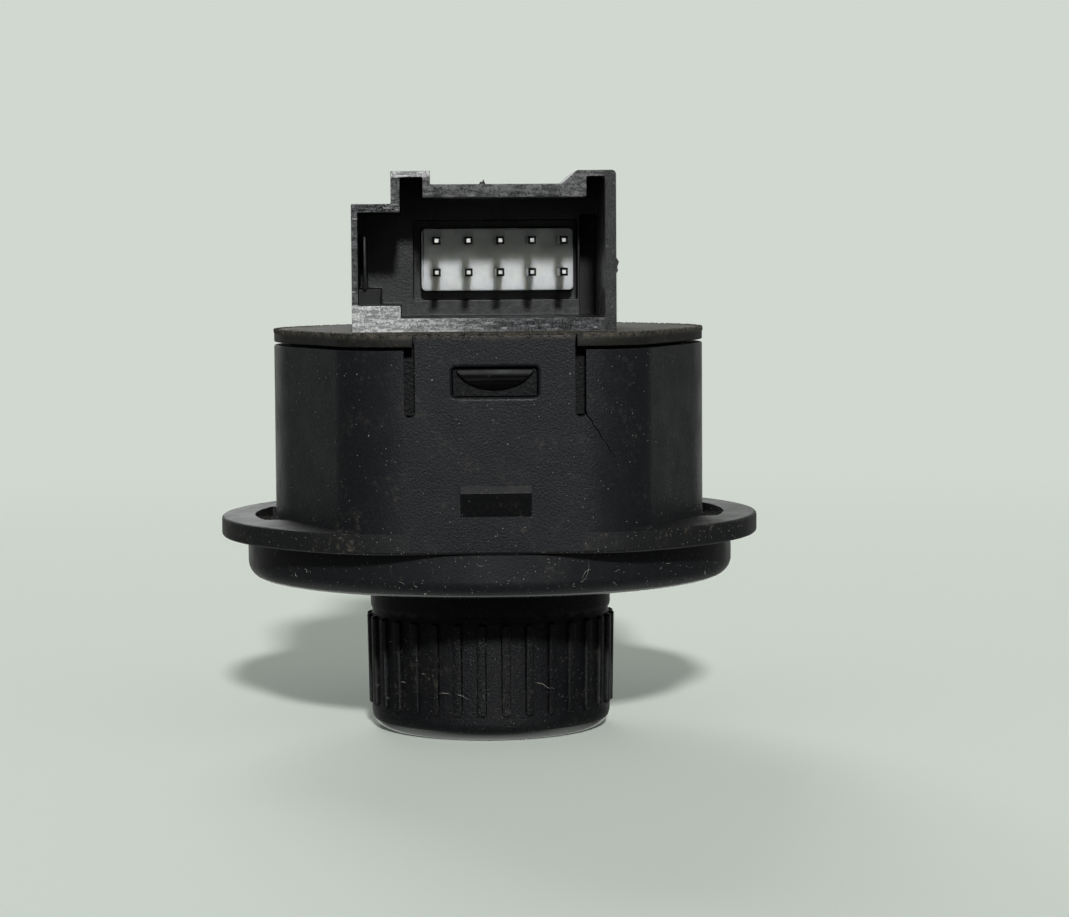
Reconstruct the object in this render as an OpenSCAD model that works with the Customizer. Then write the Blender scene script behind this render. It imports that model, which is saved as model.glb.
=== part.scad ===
// Door mirror adjustment switch: a round panel switch with a tilting, turning knob.
// The axis is Z. Z = 0 is the rear face of the flange, which seats against the trim panel.
// The connector is on the +Z side and faces -Y, and the knob is on the -Z side.

/* [Barrel] */
// Outer radius of the round barrel
barrel_r = 17.75; // [17:0.05:19]
// Thickness of the barrel wall
barrel_wall = 1.6; // [1.2:0.1:1.8]
// Height of the barrel rim above the flange
rim_z = 13.9; // [13:0.1:15]
// Distance from the axis to the flat front that keys the switch in its panel
key_front = 20.2; // [19.8:0.1:20.6]
// Half width of that flat front, between its round corners
key_flat_half = 6.6; // [6.2:0.1:6.6]
// Radius of the corners beside the flat front
key_corner_r = 6.2; // [5:0.1:7]

/* [Flange] */
// Outer radius of the flange
flange_r = 22.25; // [22:0.05:24]
// Thickness of the flange
flange_t = 1.65; // [1.4:0.05:2]
// Radius of the flange corners beside the flat front
flange_corner_r = 10.5; // [9:0.5:10.5]
// Outer radius of the dirt pockets in its rear face
pocket_r = 19.5; // [19.2:0.1:20.5]
// Length of each pocket along the barrel
pocket_len = 13; // [9:0.5:15]
// Depth of each pocket
pocket_depth = 0.9; // [0.5:0.1:1.1]

/* [Spring tongues] */
// Distance from the axis to the middle of each slot
slot_x = 6.56; // [6.2:0.01:6.8]
// Width of each slot
slot_w = 0.85; // [0.6:0.05:1]
// Height at which the slots end
slot_bottom_z = 8.9; // [8.6:0.1:9.6]
// How far the tongues stand above the barrel rim
tongue_rise = 1.4; // [1.1:0.05:1.5]
// Radius of the rim corners beside the slots
rim_corner_r = 0.9; // [0.8:0.1:1.6]
// Width of the catch window
window_w = 6.6; // [6.2:0.1:7.4]
// Height of the catch window
window_h = 2.3; // [2.1:0.1:2.4]
// Distance from the barrel rim down to the top of the window
window_drop = 1.15; // [0.9:0.05:1.3]

/* [Panel wedges] */
// Width of each wedge
wedge_w = 5.45; // [4:0.05:7]
// Height of the wedge's lower edge above the flange, which is the panel thickness
wedge_low_z = 1.3; // [1.2:0.1:2]
// Height of the wedge itself
wedge_h = 2.4; // [1.8:0.1:2.6]
// How far its ridge stands proud
wedge_proud = 0.7; // [0.4:0.05:1]

/* [Front bezel] */
// Outer radius of the bezel ring
bezel_r = 20.1; // [19.5:0.05:21]
// Depth of the bezel ring
bezel_h = 3.5; // [3.4:0.1:4.2]
// Wall of the bezel ring
bezel_wall = 1.6; // [1.3:0.1:2]
// Radius of the fillet round its front edge
bezel_fillet = 1.4; // [0.8:0.1:1.5]
// Radius of the hole that the knob passes through
bezel_hole_r = 11.2; // [11.1:0.1:11.3]

/* [Rear cover] */
// Thickness of the cover plate
plate_t = 1.0; // [0.8:0.1:1.2]
// Gap between the barrel rim and the cover plate
plate_gap = 0.4; // [0.3:0.05:0.6]
// Wall of the skirt that reaches into the barrel
skirt_wall = 1.1; // [0.9:0.1:1.3]
// Clearance round the skirt
skirt_clear = 0.1; // [0.05:0.05:0.2]
// Width of each catch nose
nose_w = 5.9; // [5:0.1:6]
// Height of each catch nose
nose_h = 1.6; // [1.4:0.1:1.7]

/* [Connector shroud] */
// Left side of the shroud
shroud_left = -11.0; // [-11.4:0.02:-10.8]
// Right side of the shroud
shroud_right = 9.76; // [9.6:0.01:10]
// Distance from the axis to the open front of the shroud
shroud_front = 14.0; // [13.6:0.1:14.4]
// Distance from the axis to the back of the shroud
shroud_back = 9.2; // [9:0.1:10]
// Height of the left shoulder above the plate
shoulder_h = 10.05; // [9.9:0.05:10.4]
// Height of the main roof above the plate
roof_h = 11.55; // [11.4:0.05:12]
// Height of the two key towers above the plate
tower_h = 12.6; // [12.5:0.05:13]
// Thickness of the main roof
roof_t = 1.05; // [0.9:0.05:1.2]
// Thickness of the floor
floor_t = 1.1; // [0.9:0.1:1.2]
// Thickness of the thin walls
thin_wall = 0.5; // [0.45:0.05:0.6]
// Thickness of the right wall
right_wall = 0.9; // [0.7:0.1:1]
// Depth of the socket
socket_depth = 10.0; // [9.6:0.1:10.4]
// Outer left and right sides of the left key tower
left_tower = [-7.89, -4.8];
// Left side of the right key tower at its top, and of its slope at the roof
right_tower = [6.7, 5.52];

/* [Pin header] */
// Distance between pins
pin_pitch = 2.54; // [2.5:0.01:2.54]
// Thickness of the square pins
pin_t = 0.63; // [0.5:0.01:0.64]
// Number of pins in each row
pins_per_row = 5; // [5:1:5]
// Sideways place of the middle pin
header_x = 0.78; // [0.4:0.02:0.8]
// Width of the header block
header_w = 12.4; // [12.2:0.05:12.6]
// Height of the header block
header_h = 5.05; // [4.9:0.05:5.3]
// Depth of the header block
header_d = 5.5; // [5:0.1:6]
// Height of the middle of the header block above the plate
header_rise = 5.65; // [5.5:0.05:5.9]
// How far the pins stand out of the block
pin_out = 5.8; // [5.4:0.1:6]
// Distance from the axis to the first row of pin legs
leg_y = 4.7; // [4.6:0.1:4.8]

/* [Circuit board] */
// Gap between the board's edge and the barrel wall
board_gap = 0.35; // [0.25:0.05:0.5]
// Thickness of the board
board_t = 1.6; // [1.2:0.2:1.6]
// Distance from the barrel rim down to the rear face of the board
board_drop = 1.7; // [1.6:0.1:1.8]
// Radius of the bore that the contact rotor turns in
board_bore_r = 2.05; // [1.8:0.05:2.4]
// Thickness of the dome mat
mat_t = 0.6; // [0.5:0.1:0.8]
// Height of the domes
dome_h = 0.9; // [0.8:0.05:1]
// Distance from the axis to the domes
dome_at = 9.3; // [9.1:0.1:9.6]
// Radius of each dome's flat top
dome_top_r = 1.5; // [1.3:0.1:1.6]
// Radius of each dome's foot
dome_foot_r = 2.2; // [2:0.1:2.4]
// Thickness of the domes' walls
dome_wall = 0.4; // [0.3:0.05:0.5]
// Outer radius of the mat
mat_r = 12.2; // [12:0.1:12.6]

/* [Tilting joystick] */
// Height of the tilt axes above the flange face
pivot_z = 2.6; // [2.5:0.1:2.7]
// Inner radius of the gimbal ring
gimbal_in_r = 7.0; // [6.8:0.1:7.1]
// Outer radius of the gimbal ring
gimbal_out_r = 8.6; // [8.5:0.1:8.7]
// Height of the gimbal ring
gimbal_h = 3.0; // [2.6:0.1:3.2]
// Radius of the gimbal pins
trunnion_r = 0.8; // [0.7:0.05:0.85]
// Running clearance round pins and journals
run_clear = 0.05; // [0.03:0.01:0.08]
// Outer radius of the rocker sleeve
sleeve_r = 5.8; // [5.6:0.1:6]
// Outer radius of the rocker's detent cup
cup_r = 7.4; // [7.2:0.1:7.5]
// Inner radius of the detent cup
cup_in_r = 6.0; // [5.9:0.1:6.1]

/* [Selector] */
// Radius of the selector shaft in the rocker
shaft_r = 3.95; // [3.8:0.05:4.1]
// Radius of the stem that carries the knob
stem_r = 3.4; // [3:0.1:3.5]
// Radius of the detent ball
ball_r = 1.0; // [0.9:0.05:1.1]
// Width of the drive blade
blade_w = 5.2; // [4.8:0.1:5.4]
// Thickness of the drive blade
blade_t = 1.5; // [1.2:0.1:1.6]
// Angles of the four detents: left mirror, off, right mirror, heating
detents = [-45, 0, 45, 90];

/* [Knob] */
// Radius of the smooth neck
neck_r = 10.0; // [9.8:0.05:10]
// Radius of the rounding at the neck's lower end
neck_round = 0.8; // [0.5:0.1:1]
// Radius over the ribs at their upper end
rib_top_r = 10.33; // [10.1:0.01:10.4]
// Radius over the ribs at their lower end
rib_low_r = 10.2; // [10:0.01:10.3]
// Number of grip ribs
rib_count = 32; // [24:2:36]
// Width of each rib
rib_w = 0.8; // [0.5:0.05:1]
// Radius between the ribs and of the smooth band below them
knob_r = 9.95; // [9.85:0.05:10]
// Distance from the flange face down to the top of the ribs
rib_top_drop = 8.3; // [8:0.1:8.6]
// Length of the ribs
rib_len = 7.6; // [6:0.1:8]
// Distance from the flange face down to the end of the knob
knob_end_drop = 17.9; // [17:0.1:18.5]
// Radius of the rounded end rim
knob_rim_r = 1.5; // [0.9:0.1:1.6]
// Thickness of the knob wall
knob_wall = 0.85; // [0.7:0.05:1]

/* [Hidden] */
$fn = 96;
eps = 0.01;
// Heights that follow from the sizes above
tongue_top_z = rim_z + tongue_rise;
window_top_z = rim_z - window_drop;
window_low_z = window_top_z - window_h;
plate_z = rim_z + plate_gap;
plate_top_z = plate_z + plate_t;
board_r = barrel_r - barrel_wall - board_gap;
board_top_z = rim_z - board_drop;
board_z = board_top_z - board_t;
mat_z = board_z - mat_t;
dome_top_z = mat_z - dome_h;
bezel_z = -flange_t - bezel_h;
// Angle of the outline where the round barrel runs into the straight side of the key
key_corner_y = key_front - key_corner_r;
key_reach = sqrt(key_flat_half * key_flat_half + key_corner_y * key_corner_y);
key_angle = acos((barrel_r - key_corner_r) / key_reach) - atan2(key_corner_y, key_flat_half);
// The straight sides start this far inside the arcs, so that line and arc cross cleanly
arc_bite = 0.01;
// Corners of the flange: their centres, and the height at which they meet the round rim
flange_reach = flange_r - flange_corner_r + arc_bite;
flange_corner_y = key_front - flange_corner_r;
flange_corner_x = sqrt(flange_reach * flange_reach - flange_corner_y * flange_corner_y);
flange_touch_y = flange_corner_y * flange_r / flange_reach;
wedge_crest = 0.55;
tongue_half = slot_x - slot_w / 2;
notch_half = tongue_half + 0.16;
// Board supports inside the barrel
support_in_r = board_r - 1.1;
support_w = 1.6;
support_angles = [-155, -25, 25, 155, 60, 120];
// Bearing posts of the gimbal, with slots narrower than the pins, which snap into them
post_in = 9.2;
post_out = 11.4;
post_half = 1.8;
post_top_z = pivot_z + 1.8;
snap_half = 0.6;
floor_hole_r = 8.6;
// Nose: gap above it, rounding of its face, how far the crest lies below its top and behind the wall
nose_drop = 0.18;
nose_face_r = 1.8;
nose_crest_drop = 0.57;
nose_sink = 0.08;
// Pad round the nose: gap to the edge of the window, and depth behind the wall
pad_gap = 0.12;
pad_sink = 0.55;
// Deeper part of the skirt behind the front tongue and its slots
deep_skirt_z = slot_bottom_z + 0.1;
deep_skirt_half = 8.4;
// Spigot that centres the bezel
collar_wall = 1.4;
spigot_in = bezel_hole_r + collar_wall + 0.1;
spigot_out = spigot_in + 1.2;
spigot_h = 1.35;
// Hairline crack that runs from the right slot
crack_path = [[6.95, 9.2], [7.66, 8.15], [8.43, 6.92], [9.2, 5.75]];
crack_w = 0.07;
crack_depth = 0.4;
// The back wedge sits a little deeper, because the wall curves away from it
back_wedge_sink = 0.25;
// Socket and header
socket_back = -shroud_front + socket_depth;
roof_z = plate_top_z + roof_h;
shoulder_z = plate_top_z + shoulder_h;
tower_z = plate_top_z + tower_h;
floor_z = plate_top_z + floor_t;
ledge_top_z = floor_z + 1.0;
ledge_right = -7.16;
header_mid_z = plate_top_z + header_rise;
header_mid_x = header_x - 0.09;
header_fit = 0.05;
recess_depth = 1.0;
recess_side = 0.65;
recess_low = 0.76;
partition_t = 3.5;
chamber_wall = 1.1;
tower_back = -3;
row_shift = 0.25;
row_z = [header_mid_z - pin_pitch / 2 + row_shift, header_mid_z + pin_pitch / 2 + row_shift];
pin_tip = 0.35;
pin_tip_in = 0.16;
pin_foot = 0.05;
row_leg = [leg_y, leg_y + pin_pitch];
pin_hole_r = 0.5;
// Chip resistors
chip = [1.6, 0.8, 0.45];
chip_at = [-9.8, -7];
chip_step = 2.4;
// Pegs that hold the dome mat in the board
peg_at = 10.8;
peg_r = 0.6;
peg_out = 0.1;
peg_clear = 0.02;
bend_r = 0.6;
// Tilting parts
tilt_deg = 5;
pin_reach = 11.0;
rocker_pin_reach = 8.4;
arm_z = pivot_z + 3.0;
arm_t = 1.2;
arm_w = 3;
foot_r = 1.2;
foot_gap = 0.3;
foot_top_z = dome_top_z - foot_gap;
cup_floor_z = -1.2;
cup_end_z = -6.0;
// Selector parts
rotor_low_z = arm_z + arm_t + 1.4;
rotor_top_z = mat_z - 0.2;
rotor_r = 6.2;
rotor_hub_r = board_bore_r - run_clear;
rotor_gap = 0.8;
rotor_slot_half_w = blade_t / 2 + 0.85;
rotor_slot_half_l = blade_w / 2 + 0.9;
rotor_slot_depth = 1.1;
barb_out = 0.35;
barb_in = 0.2;
barb_h = 0.6;
barb_gap = 0.08;
blade_top_z = rotor_low_z + rotor_slot_depth - 0.3;
clip_z = arm_z + arm_t + 0.07;
clip_t = 0.4;
clip_r = 5.0;
groove_r = 3.3;
shaft_top_z = clip_z + clip_t + 0.3;
detent_flange_r = 5.6;
detent_flange_low_z = -5.4;
detent_z = (detent_flange_low_z + cup_floor_z) / 2;
ball_at = cup_in_r - run_clear - ball_r;
spring_from = 2.3;
spring_wire = 0.2;
spring_turns = 5;
notch_depth = 0.35;
stem_end_z = -knob_end_drop + 2.3;
stem_flat = 2.7;
stem_fit = 0.02;
hub_r = 5.2;
hub_top_z = cup_end_z - 1.0;
knob_top_z = -3.1;
knob_end_t = 1.7;
// Wiper on the rotor
wiper_t = 0.15;
wiper_in_r = 2.5;
wiper_out_r = 4.4;
wiper_rise = 0.55;
wiper_bump_r = 0.3;

// Extrudes a profile given in X and Z from y0 to y1
module along_y(y0, y1) {
    translate([0, y1, 0]) rotate([90, 0, 0]) linear_extrude(y1 - y0) children();
}

// Extrudes a profile given in Y and Z over a width centred on x = 0
module along_x(width) {
    rotate([90, 0, 90]) translate([0, 0, -width / 2]) linear_extrude(width) children();
}

// A rectangle given by its corners
module rect(x0, y0, x1, y1) {
    translate([x0, y0]) square([x1 - x0, y1 - y0]);
}

// A ring between two radii
module ring(r_in, r_out, h) {
    difference() {
        cylinder(r = r_out, h = h);
        translate([0, 0, -1]) cylinder(r = r_in, h = h + 2);
    }
}

// Outline of the barrel: round, with a flat front and straight sides tangent to the circle
module key_outline(inset) {
    r0 = barrel_r - inset;
    r1 = key_corner_r - inset;
    a = -key_angle;
    side = [
        [(r0 - arc_bite) * cos(a), (r0 - arc_bite) * -sin(a)],
        [key_flat_half + (r1 - arc_bite) * cos(a), -key_corner_y - (r1 - arc_bite) * sin(a)],
        [key_flat_half, -key_front + inset]
    ];
    far = [[-side[2][0], side[2][1]], [-side[1][0], side[1][1]], [-side[0][0], side[0][1]]];
    circle(r = r0);
    for (s = [-1, 1]) translate([s * key_flat_half, -key_corner_y]) circle(r = r1);
    polygon(concat(side, far));
}

// Outline of the flange: a disc with rounded corners and a flat in line with the front of the barrel
module flange_outline() {
    intersection() {
        circle(r = flange_r);
        rect(-30, -flange_touch_y, 30, 30);
    }
    for (s = [-1, 1]) translate([s * flange_corner_x, -flange_corner_y]) circle(r = flange_corner_r);
    rect(-flange_corner_x, -key_front, flange_corner_x, -flange_touch_y + 1);
}

// Ridge that holds the switch behind the panel, on a wall that lies at y = -wall_y
module panel_wedge(wall_y) {
    top = wedge_low_z + wedge_h;
    ridge = top - wedge_crest;
    along_x(wedge_w) polygon([
        [-wall_y + 0.8, top], [-wall_y, top], [-wall_y - wedge_proud, ridge],
        [-wall_y - 0.05, wedge_low_z], [-wall_y + 0.8, wedge_low_z]
    ]);
}

// Slots, window and rounded rim corners of one tongue, cut through the wall towards -Y
module tongue_cuts() {
    for (s = [-1, 1]) {
        along_y(-30, -10) {
            rect(s * slot_x - slot_w / 2, slot_bottom_z + slot_w / 2, s * slot_x + slot_w / 2, 30);
            translate([s * slot_x, slot_bottom_z + slot_w / 2]) circle(r = slot_w / 2);
        }
        along_y(-30, -10) difference() {
            x0 = s * (slot_x + slot_w / 2);
            x1 = s * (slot_x + slot_w / 2 + rim_corner_r);
            rect(min(x0, x1), rim_z - rim_corner_r, max(x0, x1), rim_z + 1);
            translate([x1, rim_z - rim_corner_r]) circle(r = rim_corner_r);
        }
    }
    along_y(-30, -10) rect(-window_w / 2, window_low_z, window_w / 2, window_top_z);
}

// Thin zigzag cut that follows the crack
module crack() {
    half = crack_w / 2;
    left = [for (p = crack_path) [p[0] - half, p[1]]];
    right = [for (i = [len(crack_path) - 1 : -1 : 0]) [crack_path[i][0] + half, crack_path[i][1]]];
    along_y(-30, -key_front + 2.2) polygon(concat(left, right));
}

module barrel_housing() {
    color("#34363a") difference() {
        union() {
            difference() {
                union() {
                    linear_extrude(rim_z) key_outline(0);
                    intersection() {
                        linear_extrude(tongue_top_z) key_outline(0);
                        translate([-tongue_half, -30, 0]) cube([2 * tongue_half, 60, 30]);
                    }
                    translate([0, 0, -flange_t]) linear_extrude(flange_t) flange_outline();
                }
                linear_extrude(30) key_outline(barrel_wall);
                translate([0, 0, -flange_t - 1]) cylinder(r = floor_hole_r, h = flange_t + 2);
            }
            translate([0, 0, -flange_t - spigot_h]) ring(spigot_in, spigot_out, spigot_h + 0.2);
            panel_wedge(key_front);
            rotate([0, 0, 180]) panel_wedge(sqrt(barrel_r * barrel_r - wedge_w * wedge_w / 4) - back_wedge_sink);
            for (a = support_angles) rotate([0, 0, a])
                translate([support_in_r, -support_w / 2, -0.2])
                    cube([barrel_r - barrel_wall / 2 - support_in_r, support_w, board_z + 0.2]);
            for (s = [0, 180]) rotate([0, 0, s])
                translate([post_in, -post_half, -0.2])
                    cube([post_out - post_in, 2 * post_half, post_top_z + 0.2]);
        }
        translate([0, 0, pivot_z]) rotate([0, 90, 0])
            cylinder(r = trunnion_r + run_clear, h = 2 * post_out + 1, center = true);
        for (s = [0, 180]) rotate([0, 0, s]) translate([post_in - 1, -snap_half, pivot_z])
            cube([post_out - post_in + 2, 2 * snap_half, 10]);
        tongue_cuts();
        rotate([0, 0, 180]) tongue_cuts();
        translate([0, 0, -pocket_depth]) linear_extrude(pocket_depth + 1) intersection() {
            difference() {
                circle(r = pocket_r);
                circle(r = barrel_r);
            }
            rect(-30, -pocket_len / 2, 30, pocket_len / 2);
        }
        crack();
    }
}

module front_bezel() {
    face_t = 1.6;
    color("#2c2e31") translate([0, 0, bezel_z]) rotate_extrude() {
        rect(bezel_r - bezel_wall, bezel_fillet, bezel_r, bezel_h);
        rect(bezel_hole_r, 0, bezel_r - bezel_fillet, face_t);
        rect(bezel_r - bezel_wall, bezel_fillet - 0.4, bezel_r - bezel_fillet, face_t + 0.4);
        rect(bezel_hole_r, face_t - 0.2, bezel_hole_r + collar_wall, bezel_h);
        intersection() {
            translate([bezel_r - bezel_fillet, bezel_fillet]) circle(r = bezel_fillet);
            rect(bezel_r - bezel_fillet, 0, bezel_r, bezel_fillet);
        }
    }
}

// Front view of the shroud: left shoulder, left tower, main roof, slope and right tower
module shroud_front_outline() {
    corner = 0.35;
    polygon([
        [shroud_left, plate_top_z - 0.2], [shroud_left, shoulder_z],
        [left_tower[0], shoulder_z], [left_tower[0], tower_z],
        [left_tower[1], tower_z], [left_tower[1], roof_z],
        [right_tower[1], roof_z], [right_tower[0], tower_z],
        [shroud_right - corner, tower_z], [shroud_right, tower_z - corner],
        [shroud_right, plate_top_z - 0.2]
    ]);
}

// Hollow of the socket in the same view
module socket_outline() {
    tower_wall = 0.72;
    rect(shroud_left + thin_wall, ledge_top_z, ledge_right + 0.2, shoulder_z - 0.7);
    rect(ledge_right, floor_z, shroud_right - right_wall, roof_z - roof_t);
    rect(left_tower[0] + tower_wall, floor_z + 4, left_tower[1] - tower_wall + 0.1, tower_z - thin_wall);
    rect(right_tower[0] + 0.75, floor_z, shroud_right - right_wall, tower_z - thin_wall);
}

// Outline of the skirt that reaches into the barrel
module skirt_outline() {
    difference() {
        key_outline(barrel_wall + skirt_clear);
        key_outline(barrel_wall + skirt_clear + skirt_wall);
    }
}

// Catch nose on its leg and pad, in the window of a barrel wall whose outer face lies at y = -wall_y
module catch_nose(wall_y) {
    leg_front = -wall_y + barrel_wall + skirt_clear;
    root = leg_front + 0.3;
    pad_half = window_w / 2 - pad_gap;
    along_y(leg_front, leg_front + skirt_wall)
        rect(-nose_w / 2, window_low_z + pad_gap, nose_w / 2, plate_z + 0.2);
    along_y(-wall_y + pad_sink, root)
        rect(-pad_half, window_low_z + pad_gap, pad_half, window_top_z - pad_gap);
    // Half-moon with a rounded face
    top = window_top_z - nose_drop;
    side_z = 0.15;
    sag = nose_h - side_z;
    r = (nose_w * nose_w / 4 + sag * sag) / (2 * sag);
    intersection() {
        along_y(-wall_y, root) intersection() {
            rect(-nose_w / 2, top - nose_h, nose_w / 2, top);
            translate([0, top - nose_h + r]) circle(r = r);
        }
        translate([0, -wall_y + nose_sink + nose_face_r, top - nose_crest_drop]) rotate([0, 90, 0])
            cylinder(r = nose_face_r, h = 2 * nose_w, center = true);
    }
}

module rear_cover() {
    back_wall = sqrt(barrel_r * barrel_r - nose_w * nose_w / 4);
    color("#2a2b2e") difference() {
        union() {
            translate([0, 0, plate_z]) linear_extrude(plate_t) {
                key_outline(barrel_wall + 0.15);
                difference() {
                    key_outline(0);
                    rect(-notch_half, -30, notch_half, 30);
                }
            }
            translate([0, 0, board_top_z]) linear_extrude(plate_z - board_top_z + 0.2) skirt_outline();
            translate([0, 0, deep_skirt_z]) linear_extrude(plate_z - deep_skirt_z + 0.2) intersection() {
                skirt_outline();
                rect(-deep_skirt_half, -30, deep_skirt_half, -10);
            }
            catch_nose(key_front);
            rotate([0, 0, 180]) catch_nose(back_wall);
            along_y(-shroud_front, tower_back) shroud_front_outline();
            along_y(tower_back - 0.2, shroud_back)
                rect(shroud_left, plate_top_z - 0.2, shroud_right, shoulder_z);
            translate([shroud_left + thin_wall - 0.1, -shroud_front + 1.6, ledge_top_z - 0.1])
                cube([2.0, 3, 1.5]);
        }
        difference() {
            along_y(-shroud_front - 1, socket_back) socket_outline();
            // Low block in the left compartment
            translate([shroud_left, -shroud_front + 1.6, floor_z]) cube([2.4, 3, 2.4]);
        }
        // Recess and opening round the header block
        along_y(socket_back - 1, socket_back + recess_depth) rect(
            header_mid_x - header_w / 2 - recess_side, header_mid_z - header_h / 2 - recess_low,
            header_mid_x + header_w / 2 + 0.35, header_mid_z + header_h / 2 + 0.7
        );
        along_y(socket_back - 1, socket_back + partition_t + 1) rect(
            header_mid_x - header_w / 2 - header_fit, header_mid_z - header_h / 2 - header_fit,
            header_mid_x + header_w / 2 + header_fit, header_mid_z + header_h / 2 + header_fit
        );
        // Chamber that the pins turn down in, open through the plate
        translate([shroud_left + chamber_wall, socket_back + partition_t, board_top_z - 1])
            cube([shroud_right - shroud_left - 2 * chamber_wall,
                shroud_back - socket_back - partition_t - chamber_wall,
                shoulder_z - chamber_wall - board_top_z + 1]);
    }
}

module pin_header() {
    // Rounded block with square holes for the pins
    corner = 0.35;
    color("#e6e6e1") difference() {
        along_y(socket_back, socket_back + header_d) union() {
            translate([header_mid_x, header_mid_z]) {
                square([header_w, header_h - 2 * corner], center = true);
                square([header_w - 2 * corner, header_h], center = true);
                for (sx = [-1, 1]) for (sz = [-1, 1])
                    translate([sx * (header_w / 2 - corner), sz * (header_h / 2 - corner)])
                        circle(r = corner, $fn = 24);
            }
        }
        for (row = [0, 1]) for (i = [0 : pins_per_row - 1])
            along_y(socket_back - 1, socket_back + header_d + 1)
                translate([pin_x(i), row_z[row]]) square(pin_t + 0.02, center = true);
    }
}

function pin_x(i) = header_x + (i - (pins_per_row - 1) / 2) * pin_pitch;

// Square pin that runs back through the header and turns down into the board
module contact_pin(row, i) {
    half = pin_t / 2;
    tip_y = socket_back - pin_out;
    tip = pin_tip;
    tip_half = half - pin_tip_in;
    z = row_z[row];
    y_leg = row_leg[row];
    low_z = board_z + pin_foot;
    color("#c9c9c4") translate([pin_x(i), 0, 0]) {
        intersection() {
            along_x(pin_t) polygon([
                [tip_y, z - tip_half], [tip_y + tip, z - half], [y_leg - bend_r, z - half],
                [y_leg - bend_r, z + half], [tip_y + tip, z + half], [tip_y, z + tip_half]
            ]);
            translate([0, 0, z - half]) linear_extrude(pin_t) polygon([
                [-tip_half, tip_y], [-half, tip_y + tip], [-half, y_leg],
                [half, y_leg], [half, tip_y + tip], [tip_half, tip_y]
            ]);
        }
        translate([0, y_leg - bend_r, z - bend_r]) rotate([90, 0, 90])
            rotate_extrude(angle = 90, $fn = 32) translate([bend_r, 0]) square(pin_t, center = true);
        translate([-half, y_leg - half, low_z]) cube([pin_t, pin_t, z - bend_r - low_z]);
    }
}

module circuit_board() {
    flat_y = sqrt(barrel_r * barrel_r - nose_w * nose_w / 4) - barrel_wall - skirt_clear - skirt_wall - 0.2;
    color("#2f5a3a") difference() {
        translate([0, 0, board_z]) linear_extrude(board_t) intersection() {
            circle(r = board_r);
            rect(-30, -30, 30, flat_y);
        }
        translate([0, 0, board_z - 1]) cylinder(r = board_bore_r, h = board_t + 2);
        for (row = [0, 1]) for (i = [0 : pins_per_row - 1])
            translate([pin_x(i), row_leg[row], board_z - 1])
                cylinder(r = pin_hole_r, h = board_t + 2, $fn = 24);
        for (s = [-1, 1]) rotate([0, 0, 45 * s])
            translate([-peg_at, 0, board_z - 1]) cylinder(r = peg_r + peg_clear, h = board_t + 2, $fn = 24);
    }
}

// Three coding resistors in a row on the rear face of the board
module chip_resistors() {
    color("#1d1d1f") for (i = [0 : 2])
        translate([chip_at[0], chip_at[1] + chip_step * i, board_top_z]) cube(chip);
}

// Silicone mat with four domes, held by two pegs in the board
module dome_mat() {
    color("#8f9296") difference() {
        union() {
            translate([0, 0, mat_z]) cylinder(r = mat_r, h = mat_t);
            for (a = [0 : 90 : 270]) rotate([0, 0, a]) translate([dome_at, 0, dome_top_z])
                cylinder(r1 = dome_top_r, r2 = dome_foot_r, h = dome_h + mat_t / 12, $fn = 48);
            for (s = [-1, 1]) rotate([0, 0, 45 * s])
                translate([-peg_at, 0, mat_z + mat_t / 6])
                    cylinder(r = peg_r, h = mat_t + board_t + peg_out, $fn = 24);
        }
        translate([0, 0, mat_z - 1]) cylinder(r = rotor_r + rotor_gap, h = mat_t + 2);
        for (a = [0 : 90 : 270]) rotate([0, 0, a]) translate([dome_at, 0, dome_top_z + dome_wall])
            cylinder(
                r1 = dome_top_r - dome_wall, r2 = dome_foot_r,
                h = dome_h + mat_t - dome_wall + eps, $fn = 48
            );
    }
}

// Cardan ring: its pins turn in the barrel posts, and the rocker's pins turn in its bores
module gimbal_ring() {
    color("#d8d4c8") difference() {
        union() {
            translate([0, 0, pivot_z - gimbal_h / 2]) ring(gimbal_in_r, gimbal_out_r, gimbal_h);
            for (s = [0, 180]) rotate([0, 0, s]) translate([gimbal_out_r - 0.4, 0, pivot_z])
                rotate([0, 90, 0]) cylinder(r = trunnion_r, h = pin_reach - gimbal_out_r + 0.4, $fn = 48);
        }
        translate([0, 0, pivot_z]) rotate([90, 0, 0])
            cylinder(r = trunnion_r + run_clear, h = 4 * gimbal_out_r, center = true, $fn = 48);
    }
}

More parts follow.
